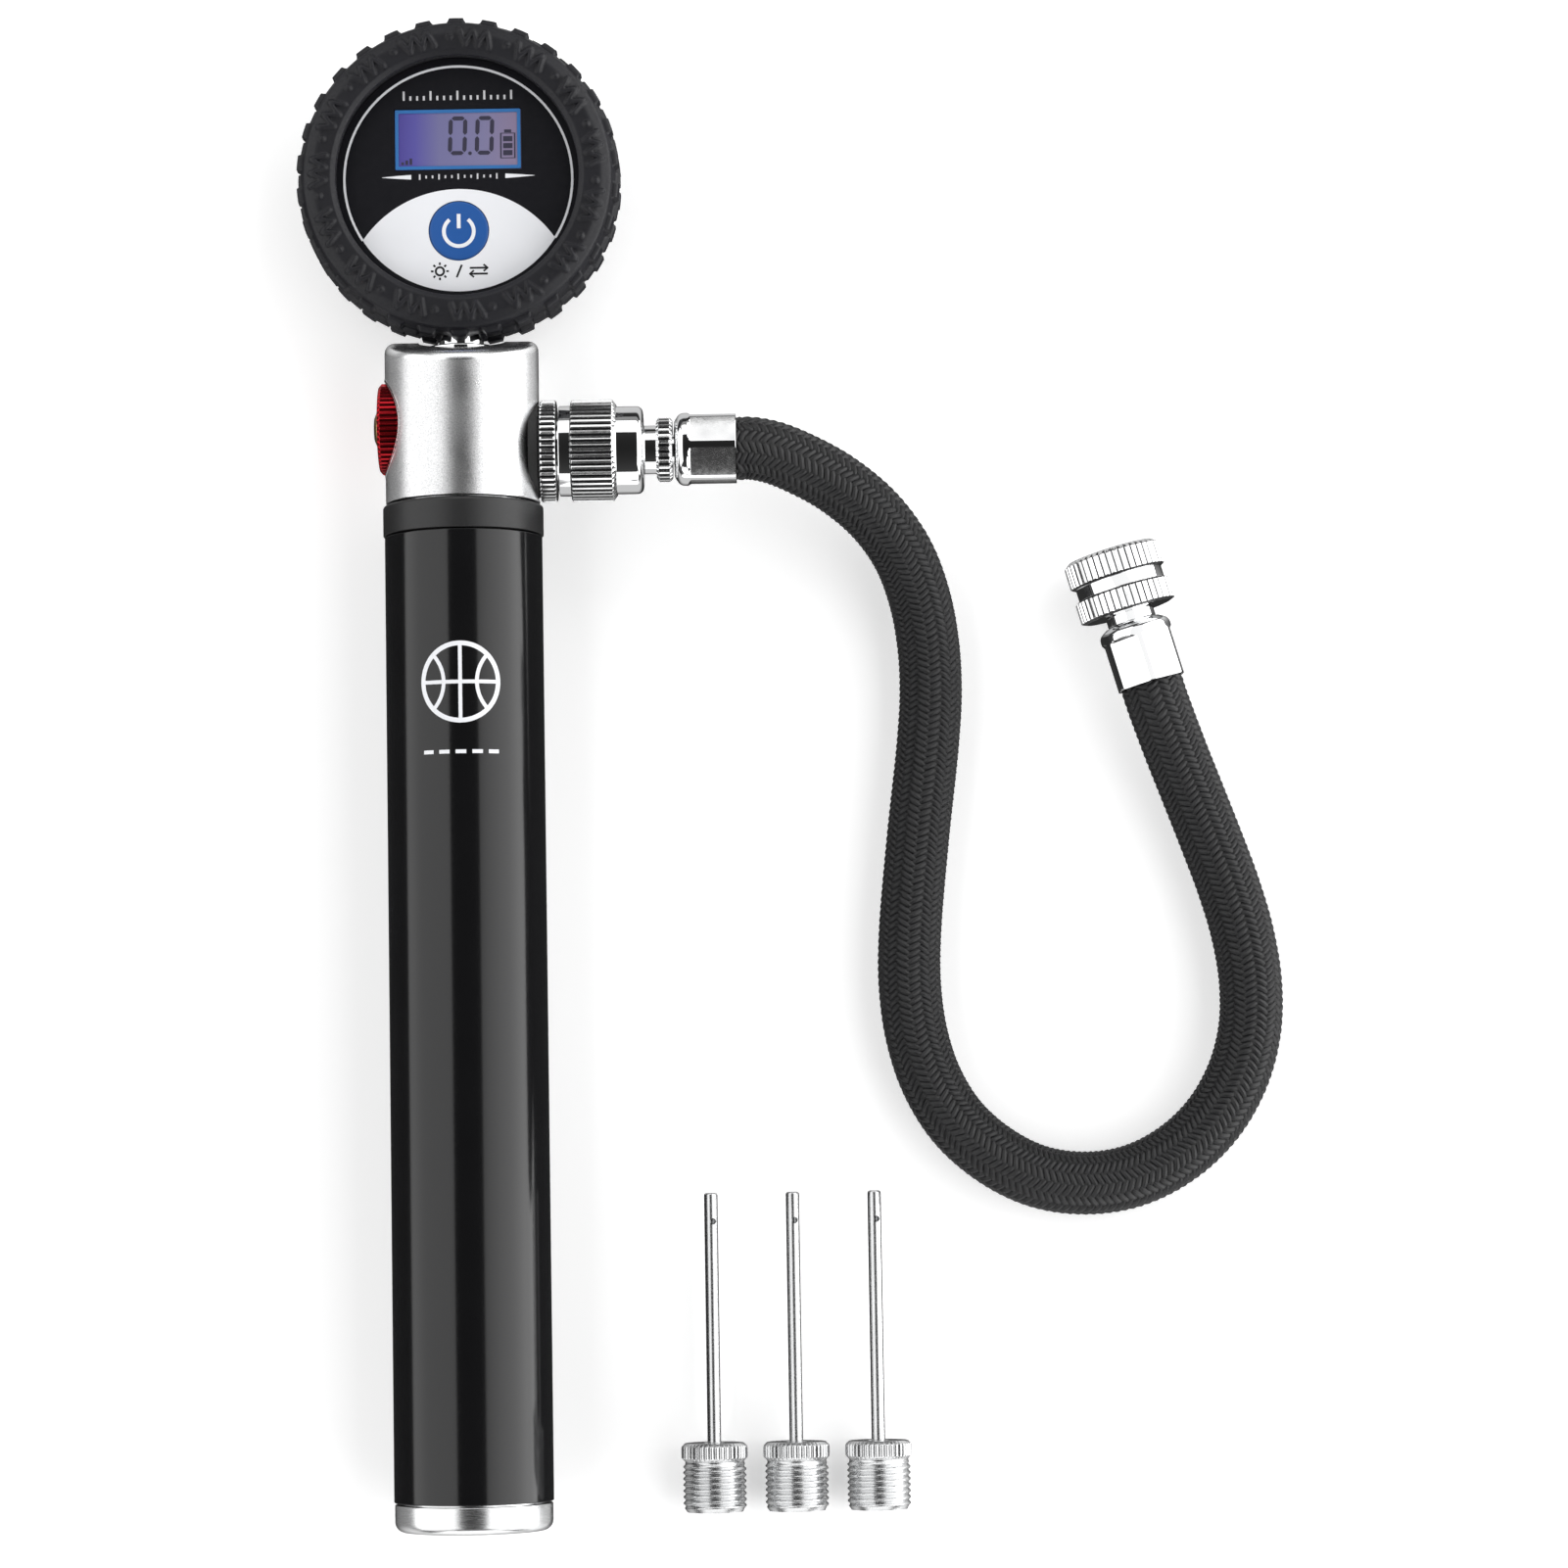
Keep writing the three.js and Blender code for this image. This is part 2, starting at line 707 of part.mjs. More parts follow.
place(
  outletAxis,
  'outlet_nipple',
  revolve(
    [
      [NIPPLE_DUCT_R, NIPPLE_START_X],
      [NIPPLE_TAIL_R, NIPPLE_START_X],
      [NIPPLE_TAIL_R, FLANGE_X],
      [NUT_R - EDGE, FLANGE_X],
      [NUT_R, FLANGE_X + EDGE],
      [NUT_R, FLANGE_END_X - EDGE],
      [NUT_R - EDGE, FLANGE_END_X],
      [NIPPLE_R, FLANGE_END_X],
      [NIPPLE_R, NIPPLE_END_X],
      [NIPPLE_DUCT_R, NIPPLE_END_X],
    ],
    MEDIUM,
  ),
  CHROME,
);
place(
  outletAxis,
  'outlet_seal',
  ring(NIPPLE_TAIL_R + 0.25, OUTLET_WELL_R - 0.2, OUTLET_WELL_X + 0.1, FLANGE_X - 0.1, MEDIUM),
  RUBBER,
);
place(
  outletAxis,
  'connector_nut',
  cut(
    join(
      grip(NUT_R, KNURL, MEDIUM, GRIP_START_X, GRIP_END_X),
      revolve(
        [
          [0, NUT_START_X],
          [NUT_NECK_R, NUT_START_X],
          [NUT_NECK_R, GRIP_START_X + 0.1],
          [NUT_R - KNURL, GRIP_START_X + 0.2],
          [NUT_R - KNURL, GRIP_END_X],
          [NUT_NECK_R, BARREL_START_X],
          [NUT_BARREL_R, BARREL_START_X],
          [NUT_BARREL_R, NUT_END_X - 0.5],
          [NUT_BARREL_R - 0.5, NUT_END_X],
          [0, NUT_END_X],
        ],
        MEDIUM,
      ),
    ),
    rod(NIPPLE_R + GAP, NUT_START_X - 1, NUT_FLOOR_X, MEDIUM),
    rod(NUT_WALL_BORE_R, NUT_FLOOR_X - OVERLAP, NUT_END_X + 1, SMALL),
  ),
  CHROME,
);
place(
  outletAxis,
  'hose_gasket',
  ring(
    NIPPLE_DUCT_R + 0.1,
    FITTING_FLANGE_R - 0.1,
    NIPPLE_END_X + 0.1,
    FITTING_START_X - 0.1,
    SMALL,
  ),
  RUBBER,
);
place(
  outletAxis,
  'hose_fitting',
  revolve(
    [
      [HOSE_DUCT_R, FITTING_START_X],
      [FITTING_FLANGE_R, FITTING_START_X],
      [FITTING_FLANGE_R, NUT_FLOOR_X - 0.2],
      [FITTING_R, NUT_FLOOR_X - 0.2],
      [FITTING_R, NUT_END_X + 0.2],
      [FITTING_NECK_R, NUT_END_X + 0.2],
      [FITTING_NECK_R, FITTING_GRIP_X - 0.1],
      [FITTING_GRIP_R, FITTING_GRIP_X + 0.1],
      [FITTING_GRIP_R, FERRULE_START_X - 0.35],
      [BARB_R, FERRULE_START_X - 0.2],
      [BARB_R, FERRULE_END_X - 0.2],
      [HOSE_DUCT_R, FERRULE_END_X - 0.2],
    ],
    SMALL,
  ),
  CHROME,
);

// A crimped sleeve, with its round shoulder at the low end.
function ferrule(from, to) {
  return revolve(
    [
      [BARB_R + 0.15, from],
      [FERRULE_R - 0.55, from],
      [FERRULE_R - 0.15, from + 0.2],
      [FERRULE_R, from + 0.6],
      [FERRULE_R, to],
      [BARB_R + 0.15, to],
    ],
    MEDIUM,
  );
}

place(outletAxis, 'head_ferrule', ferrule(FERRULE_START_X, FERRULE_END_X), CHROME);

// ---------------------------------------------------------------- hose

function hose() {
  const points = HOSE_ROUTE.map(([x, y, z]) => new THREE.Vector3(x, y, z));
  return sweep(new THREE.CatmullRomCurve3(points), HOSE_R, HOSE_SIDES, HOSE_STEPS);
}

place(pump, 'hose', hose(), BRAID);

// ---------------------------------------------------------------- far end of the hose

const farAxis = axis(FAR_X, FAR_Y, FAR_Z, FAR_TURN);
const FAR_FERRULE_LENGTH = 8.45;
const FAR_NUT_FROM = 9.95;
const FAR_NUT_TO = 18.5;
const FAR_GRIP_LENGTH = 3.2;
const FAR_MOUTH_R = 4.45;
const FAR_WALL_TO = 11.15;
const FAR_WALL_BORE_R = 3.1;
const FAR_NECK_R = 6.05;
const FAR_STEM_R = FAR_WALL_BORE_R - 0.2;
const FAR_SHOULDER_R = 3.2; // on the stem, between ferrule and nut
const FAR_FLANGE_R = FAR_MOUTH_R - 0.25;
const FAR_FLANGE_TO = 12.5;
const FAR_GASKET = 0.7; // thickness

place(
  farAxis,
  'far_ferrule',
  ferrule(0, FAR_FERRULE_LENGTH).rotateX(Math.PI).translate(0, FAR_FERRULE_LENGTH, 0),
  CHROME,
);
place(
  farAxis,
  'far_stem',
  revolve(
    [
      [HOSE_DUCT_R, 0.2],
      [BARB_R, 0.2],
      [BARB_R, FAR_FERRULE_LENGTH + 0.15],
      [FAR_SHOULDER_R, FAR_FERRULE_LENGTH + 0.15],
      [FAR_SHOULDER_R, FAR_NUT_FROM - 0.15],
      [FAR_STEM_R, FAR_NUT_FROM - 0.15],
      [FAR_STEM_R, FAR_WALL_TO + 0.15],
      [FAR_FLANGE_R, FAR_WALL_TO + 0.15],
      [FAR_FLANGE_R, FAR_FLANGE_TO],
      [HOSE_DUCT_R, FAR_FLANGE_TO],
    ],
    SMALL,
  ),
  CHROME,
);
place(
  farAxis,
  'far_gasket',
  ring(1.4, FAR_FLANGE_R, FAR_FLANGE_TO + 0.1, FAR_FLANGE_TO + 0.1 + FAR_GASKET, SMALL),
  RUBBER,
);
place(
  farAxis,
  'far_nut',
  cut(
    join(
      rod(FAR_NECK_R, FAR_NUT_FROM + 0.2, FAR_NUT_TO - 0.6, MEDIUM),
      grip(FAR_NUT_R, KNURL, MEDIUM, FAR_NUT_FROM, FAR_NUT_FROM + FAR_GRIP_LENGTH),
      grip(FAR_NUT_R, KNURL, MEDIUM, FAR_NUT_TO - 0.5 - FAR_GRIP_LENGTH, FAR_NUT_TO - 0.5),
      revolve(
        [
          [0, FAR_NUT_TO - 0.7],
          [FAR_NUT_R - KNURL, FAR_NUT_TO - 0.6],
          [FAR_NUT_R - KNURL - 0.45, FAR_NUT_TO],
          [0, FAR_NUT_TO],
        ],
        MEDIUM,
      ),
    ),
    rod(FAR_WALL_BORE_R, FAR_NUT_FROM - 1, FAR_WALL_TO + OVERLAP, SMALL),
    rod(FAR_MOUTH_R, FAR_WALL_TO, FAR_NUT_TO + 1, MEDIUM),
  ),
  CHROME,
);

// ---------------------------------------------------------------- gauge

const gaugeAxis = axis(0, 0, 0);
const STEM_R = 3;
const STEM_BORE_R = 0.8;
const STEM_TIP_R = 1.6;
const STEM_STEP_Y = -17.4;
const STEM_END_Y = -14.6;
const STEM_FLANGE_R = 5;
const STEM_FLANGE_Y = DISH_Y + 0.65;
const STEM_FLANGE_TOP_Y = STEM_FLANGE_Y + 0.9;

// The gauge's stem, a brass tube along the pump's axis, and its seal in the head's dish
place(
  pumpAxis,
  'gauge_stem',
  revolve(
    [
      [STEM_BORE_R, PORT_END_Y + GAP],
      [STEM_R, PORT_END_Y + GAP],
      [STEM_R, STEM_FLANGE_Y],
      [STEM_FLANGE_R, STEM_FLANGE_Y],
      [STEM_FLANGE_R, STEM_FLANGE_TOP_Y],
      [STEM_R, STEM_FLANGE_TOP_Y],
      [STEM_R, STEM_STEP_Y],
      [STEM_TIP_R, STEM_STEP_Y],
      [STEM_TIP_R, STEM_END_Y],
      [STEM_BORE_R, STEM_END_Y],
    ],
    SMALL,
  ),
  CHROME,
);
place(
  pumpAxis,
  'stem_seal',
  ring(STEM_R + GAP, DISH_R - 0.5, DISH_Y + 0.1, STEM_FLANGE_Y - 0.1, SMALL),
  RUBBER,
);

// A hole along the pump's axis, through the gauge's side wall
function stemHole(radius, from, to) {
  return rod(radius, from, to, SMALL).translate(0, 0, AXIS_Z);
}

function tyreBoot() {
  const body = alongZ(
    revolve(
      [
        [15.3, 4.6],
        [18.6, 4.2],
        [20.4, 5.2],
        [BOOT_R, 7],
        [BOOT_R, 14.2],
        [20.2, 15.6],
        [18.6, 16.8],
        [17, 17.1],
        [DIAL_OPENING_R, 16.6],
        [DIAL_OPENING_R, 15.2],
        [19, 15.2],
        [19, 5.8],
        [15.3, 5.8],
      ],
      LARGE,
    ),
  );
  const lugs = Array.from({ length: LUG_COUNT }, (_, i) =>
    box(2.1, 2, 6.4, 0, BOOT_R + LUG_HEIGHT - 1, AXIS_Z).rotateZ((i * 2 * Math.PI) / LUG_COUNT),
  );
  return cut(join(body, ...lugs), stemHole(STEM_R + 0.5, -23, -15));
}

place(gaugeAxis, 'tyre_boot', tyreBoot(), RUBBER);

const CASE_R = 18.8;
const BAY_R = 12.8; // battery bay, open at the back
const SKIRT_Z = 1.7; // lower edge of the case
const RIM_Z = 15;
const FLOOR_Z = 6;
const CAVITY_FLOOR_Z = 7.4;
const CAVITY_R = 17.3;
const LEDGE_Z = 12.4; // what the face plate rests on
const LEDGE_R = 15.3;
const RIM_BORE_R = 16.5;
const COVER_THICKNESS = 1.4;
const SCREW_R = 0.6;
const SCREW_TOP_Z = 5.2;
const CELL_R = 10;
const BOARD_R = 15;
const BOARD_Z = 7.7;
const BOARD_TOP_Z = 8.7;

// The three places round the battery cover's screws
function aroundCover(make) {
  return [90, 210, 330].map((degrees) => {
    const angle = THREE.MathUtils.degToRad(degrees);
    return make(COVER_SCREW_PITCH_R * Math.cos(angle), COVER_SCREW_PITCH_R * Math.sin(angle));
  });
}

function gaugeCase() {
  const shell = alongZ(
    revolve(
      [
        [0, FLOOR_Z],
        [BAY_R, FLOOR_Z],
        [BAY_R, SKIRT_Z],
        [COVER_R, SKIRT_Z],
        [COVER_R, FLOOR_Z],
        [CASE_R, FLOOR_Z],
        [CASE_R, RIM_Z],
        [RIM_BORE_R, RIM_Z],
        [RIM_BORE_R, LEDGE_Z],
        [LEDGE_R, LEDGE_Z],
        [LEDGE_R, LEDGE_Z - 1.5],
        [CAVITY_R, LEDGE_Z - 1.5],
        [CAVITY_R, CAVITY_FLOOR_Z],
        [0, CAVITY_FLOOR_Z],
      ],
      LARGE,
    ),
  );
  const screwHoles = aroundCover((x, y) =>
    alongZ(rod(SCREW_R + 0.05, 1, SCREW_TOP_Z + 0.2, TINY)).translate(x, y, 0),
  );
  const neck = stemHole(STEM_R + 0.2, -20, STEM_STEP_Y + 0.5);
  const tip = stemHole(STEM_TIP_R + 0.2, STEM_STEP_Y + 0.4, STEM_END_Y + 0.1);
  return cut(shell, neck, tip, ...screwHoles);
}

place(gaugeAxis, 'gauge_case', gaugeCase(), BLACK_PLASTIC);

function batteryCover() {
  const holes = aroundCover((x, y) => alongZ(rod(SCREW_R + 0.15, -1, 2, TINY)).translate(x, y, 0));
  return cut(alongZ(rod(COVER_R, 0, COVER_THICKNESS, LARGE)), ...holes);
}

place(gaugeAxis, 'battery_cover', batteryCover(), BLACK_PLASTIC);
aroundCover((x, y) => [x, y]).forEach(([x, y], i) => {
  const screw = alongZ(rod(SCREW_R, 0.1, SCREW_TOP_Z, TINY)).translate(x, y, 0);
  place(gaugeAxis, `cover_screw_${i + 1}`, screw, STEEL);
});
place(gaugeAxis, 'coin_cell', alongZ(rod(CELL_R, 1.9, 5.1, MEDIUM)), STEEL);
place(gaugeAxis, 'battery_clip', box(15, 4, 0.4, 0, 0, 5.55), STEEL);

place(gaugeAxis, 'circuit_board', alongZ(rod(BOARD_R, BOARD_Z, BOARD_TOP_Z, MEDIUM)), CIRCUIT_GREEN);
place(gaugeAxis, 'pressure_sensor', box(6.4, 4, 2.4, 0, -12.2, 10), BLACK_PLASTIC);
place(gaugeAxis, 'lcd_module', box(LCD_WIDTH + 1.6, LCD_HEIGHT + 1.5, 3.5, 0, LCD_Y, 10.55), LCD_BLUE);
place(
  gaugeAxis,
  'button_switch',
  join(
    box(5, 5, 1.7, 0, BUTTON_Y, 9.65),
    alongZ(rod(1, 10, 10.75, TINY)).translate(0, BUTTON_Y, 0),
  ),
  BLACK_PLASTIC,
);

const PLATE_THICKNESS = 0.9;

// The printed face plate, with a window for the display and a hole for the button
function facePlate() {
  const outline = new THREE.Shape().absarc(0, 0, DIAL_OPENING_R - 0.1, 0, 2 * Math.PI);
  const width = LCD_WIDTH + 0.4;
  const height = LCD_HEIGHT + 0.4;
  outline.holes.push(
    new THREE.Path([
      new THREE.Vector2(-width / 2, LCD_Y - height / 2),
      new THREE.Vector2(-width / 2, LCD_Y + height / 2),
      new THREE.Vector2(width / 2, LCD_Y + height / 2),
      new THREE.Vector2(width / 2, LCD_Y - height / 2),
    ]),
    new THREE.Path().absarc(0, BUTTON_Y, BUTTON_R + 0.2, 0, 2 * Math.PI, true),
  );
  const plate = new THREE.ExtrudeGeometry(outline, {
    depth: PLATE_THICKNESS,
    bevelEnabled: false,
    curveSegments: MEDIUM,
  });
  return tidy(plate.translate(0, 0, DIAL_Z - PLATE_THICKNESS));
}

place(gaugeAxis, 'face_plate', facePlate(), DIAL_BLACK);
place(gaugeAxis, 'lcd_window', box(LCD_WIDTH, LCD_HEIGHT, 0.8, 0, LCD_Y, DIAL_Z - 0.5), LCD_BLUE);

const BUTTON_FLANGE_R = BUTTON_R + 0.7;
const BUTTON_FLANGE_Z = 12;
const BUTTON_STEM_R = 1.2;

place(
  gaugeAxis,
  'power_button',
  alongZ(
    revolve(
      [
        [0, BUTTON_FLANGE_Z - 0.8],
        [BUTTON_STEM_R, BUTTON_FLANGE_Z - 0.8],
        [BUTTON_STEM_R, BUTTON_FLANGE_Z],
        [BUTTON_FLANGE_R, BUTTON_FLANGE_Z],
        [BUTTON_FLANGE_R, BUTTON_FLANGE_Z + 0.5],
        [BUTTON_R, BUTTON_FLANGE_Z + 0.5],
        [BUTTON_R, DIAL_Z + 0.15],
        [0, DIAL_Z + 0.15],
      ],
      MEDIUM,
    ),
  ).translate(0, BUTTON_Y, 0),
  BUTTON_BLUE,
);

// ---------------------------------------------------------------- ball needles

const NEEDLE_THREAD_LENGTH = 6.65;
const NEEDLE_BASE_LENGTH = 9.1;
const NEEDLE_HOLE_AT = 38.4;
const NEEDLE_DUCT_R = 0.55;

function needleBase() {
  const bore = NEEDLE_TUBE_R + 0.1;
  return revolve(
    [
      [bore, 0],
      [NEEDLE_THREAD_R - 0.4, 0],
      [NEEDLE_THREAD_R, 0.4],
      [NEEDLE_THREAD_R, NEEDLE_THREAD_LENGTH],
      [NEEDLE_COLLAR_R, NEEDLE_THREAD_LENGTH + 0.1],
      [NEEDLE_COLLAR_R, NEEDLE_BASE_LENGTH - 0.3],
      [NEEDLE_COLLAR_R - 0.3, NEEDLE_BASE_LENGTH],
      [bore, NEEDLE_BASE_LENGTH],
    ],
    SMALL,
  );
}

function needleTube() {
  const tube = revolve(
    [
      [NEEDLE_DUCT_R, 0.3],
      [NEEDLE_TUBE_R, 0.3],
      [NEEDLE_TUBE_R, NEEDLE_LENGTH - 0.4],
      [NEEDLE_TUBE_R - 0.3, NEEDLE_LENGTH],
      [0, NEEDLE_LENGTH],
      [0, NEEDLE_LENGTH - 1.4],
      [NEEDLE_DUCT_R, NEEDLE_LENGTH - 1.4],
      [NEEDLE_DUCT_R, 0.3],
    ],
    TINY,
  );
  const hole = alongZ(rod(0.4, 0, 2, 8)).translate(0, NEEDLE_HOLE_AT, 0);
  return cut(tube, hole);
}

NEEDLE_X.forEach((x, i) => {
  const needle = axis(x, NEEDLE_BASE_Y, NEEDLE_COLLAR_R);
  place(needle, `needle_${i + 1}_base`, needleBase(), STEEL);
  place(needle, `needle_${i + 1}_tube`, needleTube(), STEEL);
});

export default pump;
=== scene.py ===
# A mini pump with a digital gauge, a screw-on braided hose and three ball needles, finished
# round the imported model. Shapes are written in millimetres, each along the Z axis of its own
# frame, and turned to metres when a piece is made. Most places come from the CAD nodes' boxes.
import json
import math

import bmesh
import bpy
import numpy as np
from mathutils import Matrix, Vector
from mathutils.geometry import tessellate_polygon


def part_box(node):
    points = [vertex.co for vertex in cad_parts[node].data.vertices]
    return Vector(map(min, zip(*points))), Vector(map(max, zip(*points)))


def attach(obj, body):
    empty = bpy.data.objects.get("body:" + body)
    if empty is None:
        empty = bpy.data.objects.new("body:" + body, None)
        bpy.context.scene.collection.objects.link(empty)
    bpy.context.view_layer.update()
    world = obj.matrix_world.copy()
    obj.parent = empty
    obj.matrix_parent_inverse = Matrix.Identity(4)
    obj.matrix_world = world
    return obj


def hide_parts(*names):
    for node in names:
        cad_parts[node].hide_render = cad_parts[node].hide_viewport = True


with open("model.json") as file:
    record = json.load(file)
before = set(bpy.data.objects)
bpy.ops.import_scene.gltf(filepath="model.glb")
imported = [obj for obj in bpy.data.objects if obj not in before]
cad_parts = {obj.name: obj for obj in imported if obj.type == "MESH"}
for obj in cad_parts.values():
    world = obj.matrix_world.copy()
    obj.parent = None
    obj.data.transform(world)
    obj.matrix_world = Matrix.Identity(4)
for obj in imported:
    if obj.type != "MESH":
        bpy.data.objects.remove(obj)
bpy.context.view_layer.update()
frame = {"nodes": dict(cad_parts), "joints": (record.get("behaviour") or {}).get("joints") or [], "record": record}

MM = 0.001
TURN = 2 * math.pi
FULL_COLUMNS = 192  # round the big turned pieces
FINE_COLUMNS = 256  # round the sleeve and the edge of the knob's well
SMALL_COLUMNS = 64  # round pins and small rings
TOOTH_COLUMNS = 12  # round each tooth of a knurled ring
ARC_STEP = math.radians(15)
SHARP = 32  # degrees between two faces that share a sharp edge


# ------------------------ places, from the frame


def limits(node):
    """The lowest and highest corner of a CAD node, in millimetres."""
    low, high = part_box(node)
    return low / MM, high / MM


def middle(node):
    low, high = limits(node)
    return (low + high) / 2


def frame_at(origin, x, y, z):
    return Matrix.Translation(origin) @ Matrix((x, y, z)).transposed().to_4x4()


def frame_along(origin, direction, side):
    """A frame whose Z axis runs along a direction and whose X axis is to one side."""
    z = Vector(direction).normalized()
    x = Vector(side).normalized()
    return frame_at(origin, x, z.cross(x), z)


def joint(name):
    return next(j for j in frame["joints"] if j["name"] == name)


UP = Vector((0, 0, 1))
AXIS_Z = middle("outer_sleeve").z
PUMP = frame_along((0, 0, AXIS_Z), (0, 1, 0), (1, 0, 0))
BLEED_Y = middle("bleed_knob").y
BLEED = frame_along((0, BLEED_Y, AXIS_Z), (-1, 0, 0), (0, 1, 0))
OUTLET_Y = middle("connector_nut").y
OUTLET = frame_along((0, OUTLET_Y, AXIS_Z), (1, 0, 0), (0, 1, 0))
FAR_AXIS = Vector(joint("far_nut_turn")["axis"]).normalized()
FAR_SIDE = FAR_AXIS.cross(UP)
FAR_FERRULE_AT = Vector((91.75, -68.6, 6.65))  # where the hose meets the far ferrule
FAR = frame_along(FAR_FERRULE_AT, FAR_AXIS, FAR_SIDE)
DIAL_Z = limits("face_plate")[1].z
BOOT_LOW_Z = limits("tyre_boot")[0].z
BOOT_HIGH_Z = limits("tyre_boot")[1].z


# ------------------------ shapes


def rounded(corners, closed=False):
    """Outline points of corners (x, y) or (x, y, radius), with arcs at the rounded ones."""
    spots = [Vector(corner[:2]) for corner in corners]
    points = []
    for i, corner in enumerate(corners):
        spot = spots[i]
        radius = corner[2] if len(corner) > 2 else 0
        at_end = not closed and i in (0, len(corners) - 1)
        if radius == 0 or at_end:
            points.append(tuple(spot))
            continue
        before = (spots[i - 1] - spot).normalized()
        after = (spots[(i + 1) % len(spots)] - spot).normalized()
        half = before.angle(after) / 2
        turn = math.pi - 2 * half
        centre = spot + (before + after).normalized() * radius / math.sin(half)
        start = spot + before * radius / math.tan(half) - centre
        end = spot + after * radius / math.tan(half) - centre
        steps = max(2, round(turn / ARC_STEP))
        for k in range(steps + 1):
            share = k / steps
            swing = start * math.sin((1 - share) * turn) + end * math.sin(share * turn)
            points.append(tuple(centre + swing / math.sin(turn)))
    return points


def grid_faces(rows, columns, close_rows=False, close_columns=True):
    """Quads between the points of a grid, row by row."""
    last_row = rows if close_rows else rows - 1
    last_column = columns if close_columns else columns - 1
    i, j = np.meshgrid(np.arange(last_row), np.arange(last_column), indexing="ij")
    below, beside = (i + 1) % rows, (j + 1) % columns
    corners = [i * columns + j, i * columns + beside, below * columns + beside, below * columns + j]
    return np.stack(corners, axis=-1).reshape(-1, 4).tolist()


def grid_ends(rows, columns):
    """The two faces that close a grid's first and last row."""
    last = columns * (rows - 1)
    return [list(range(columns))[::-1], list(range(last, last + columns))]


def around_z(radius, angle, height):
    points = np.stack([radius * np.cos(angle), radius * np.sin(angle), height], axis=-1)
    return points.reshape(-1, 3)


def lathe(profile, columns=FULL_COLUMNS, reshape=None):
    """A profile of (radius, height) turned about Z, closed on the axis or on itself.
    reshape(angle, radius, height) returns the radius to use instead."""
    rows = np.array(profile, float)
    angle = np.arange(columns) * TURN / columns
    radius = np.repeat(rows[:, :1], columns, axis=1)
    height = np.repeat(rows[:, 1:], columns, axis=1)
    if reshape:
        radius = reshape(angle[None, :], radius, height)
    faces = grid_faces(len(rows), columns, close_rows=rows[0, 0] > 0)
    return around_z(radius, angle, height), faces


def tube(bore, radius, low, high, columns=FULL_COLUMNS, edge=0.1):
    """A ring with small rounded edges."""
    corners = [(bore, low, edge), (radius, low, edge), (radius, high, edge), (bore, high, edge)]
    return turned(corners, columns)


def disc(radius, low, high, columns=FULL_COLUMNS, edge=0.1):
    return turned([(0, low), (radius, low, edge), (radius, high, edge), (0, high)], columns)


def turned(corners, columns=FULL_COLUMNS, reshape=None):
    """A rounded outline turned about Z: a ring where it starts off the axis, or else solid."""
    return lathe(rounded(corners, closed=corners[0][0] > 0), columns, reshape)


def join(*shapes):
    points, faces, count = [], [], 0
    for own_points, own_faces in shapes:
        points.append(np.asarray(own_points, float))
        faces += [[corner + count for corner in face] for face in own_faces]
        count += len(own_points)
    return np.concatenate(points), faces


def moved(shape, matrix):
    points, faces = shape
    rotation = np.array(matrix.to_3x3())
    return np.asarray(points) @ rotation.T + np.array(matrix.translation), faces


def slab(outlines, low, high):
    """A plate between two heights, from an outline and its holes."""
    loops = [[Vector((x, y, 0)) for x, y in outline] for outline in outlines]
    flat = [point for loop in loops for point in loop]
    count = len(flat)
    points = [(p.x, p.y, low) for p in flat] + [(p.x, p.y, high) for p in flat]
    faces = []
    for a, b, c in tessellate_polygon(loops):
        faces += [[a, b, c], [c + count, b + count, a + count]]
    first = 0
    for loop in loops:
        for i in range(len(loop)):
            a, b = first + i, first + (i + 1) % len(loop)
            faces.append([a, b, b + count, a + count])
        first += len(loop)
    return np.array(points), faces


def stroke(line, width, low, high, closed=False):
    """A flat line along some points, of one width or of one for each point, as a plate."""
    line = np.array(line, float)
    count = len(line)
    wide = np.full(count, width, float) if np.isscalar(width) else np.array(width, float)
    if closed:
        run = np.roll(line, -1, axis=0) - np.roll(line, 1, axis=0)
    else:
        run = np.gradient(line, axis=0)
    run /= np.linalg.norm(run, axis=1)[:, None]
    side = np.stack([-run[:, 1], run[:, 0]], axis=1) * wide[:, None] / 2
    corners = [(line + side, low), (line - side, low), (line - side, high), (line + side, high)]
    points = np.stack(
        [np.column_stack([spots, np.full(count, z)]) for spots, z in corners], axis=1
    )
    faces = grid_faces(count, 4, close_rows=closed)
    if not closed:
        faces += grid_ends(count, 4)
    return points.reshape(-1, 3), faces


def arc(radius, start, end, step=4, centre=(0, 0)):
    """Points on a circle between two angles in degrees."""
    count = max(3, round(abs(end - start) / step) + 1)
    angles = np.radians(np.linspace(start, end, count))
    spots = np.stack([np.cos(angles), np.sin(angles)], axis=1) * radius + np.array(centre)
    return [tuple(spot) for spot in spots]


def circle(radius, step=4, centre=(0, 0)):
    return arc(radius, 0, 360, step, centre)[:-1]


def rectangle(low_x, low_y, high_x, high_y, edge=0.0):
    corners = [(low_x, low_y), (high_x, low_y), (high_x, high_y), (low_x, high_y)]
    return rounded([(x, y, edge) for x, y in corners], closed=True)


# ------------------------ reshaping of turned pieces


CREST_SHARE = 0.33  # how much of each tooth is its flat crest


def smooth(x):
    x = np.clip(x, 0, 1)
    return x * x * (3 - 2 * x)


def teeth(count, depth, crest, low, high):
    """Knurling: V grooves along the axis between two heights, cut in from narrow crests."""

    def reshape(angle, radius, height):
        off_crest = 1 - np.abs(2 * np.mod(count * angle / TURN, 1) - 1)
        groove = crest - depth * np.clip((off_crest - CREST_SHARE) / (1 - CREST_SHARE), 0, 1)
        inside = (height >= low) & (height <= high)
        return np.where(inside, np.minimum(radius, groove), radius)

    return reshape


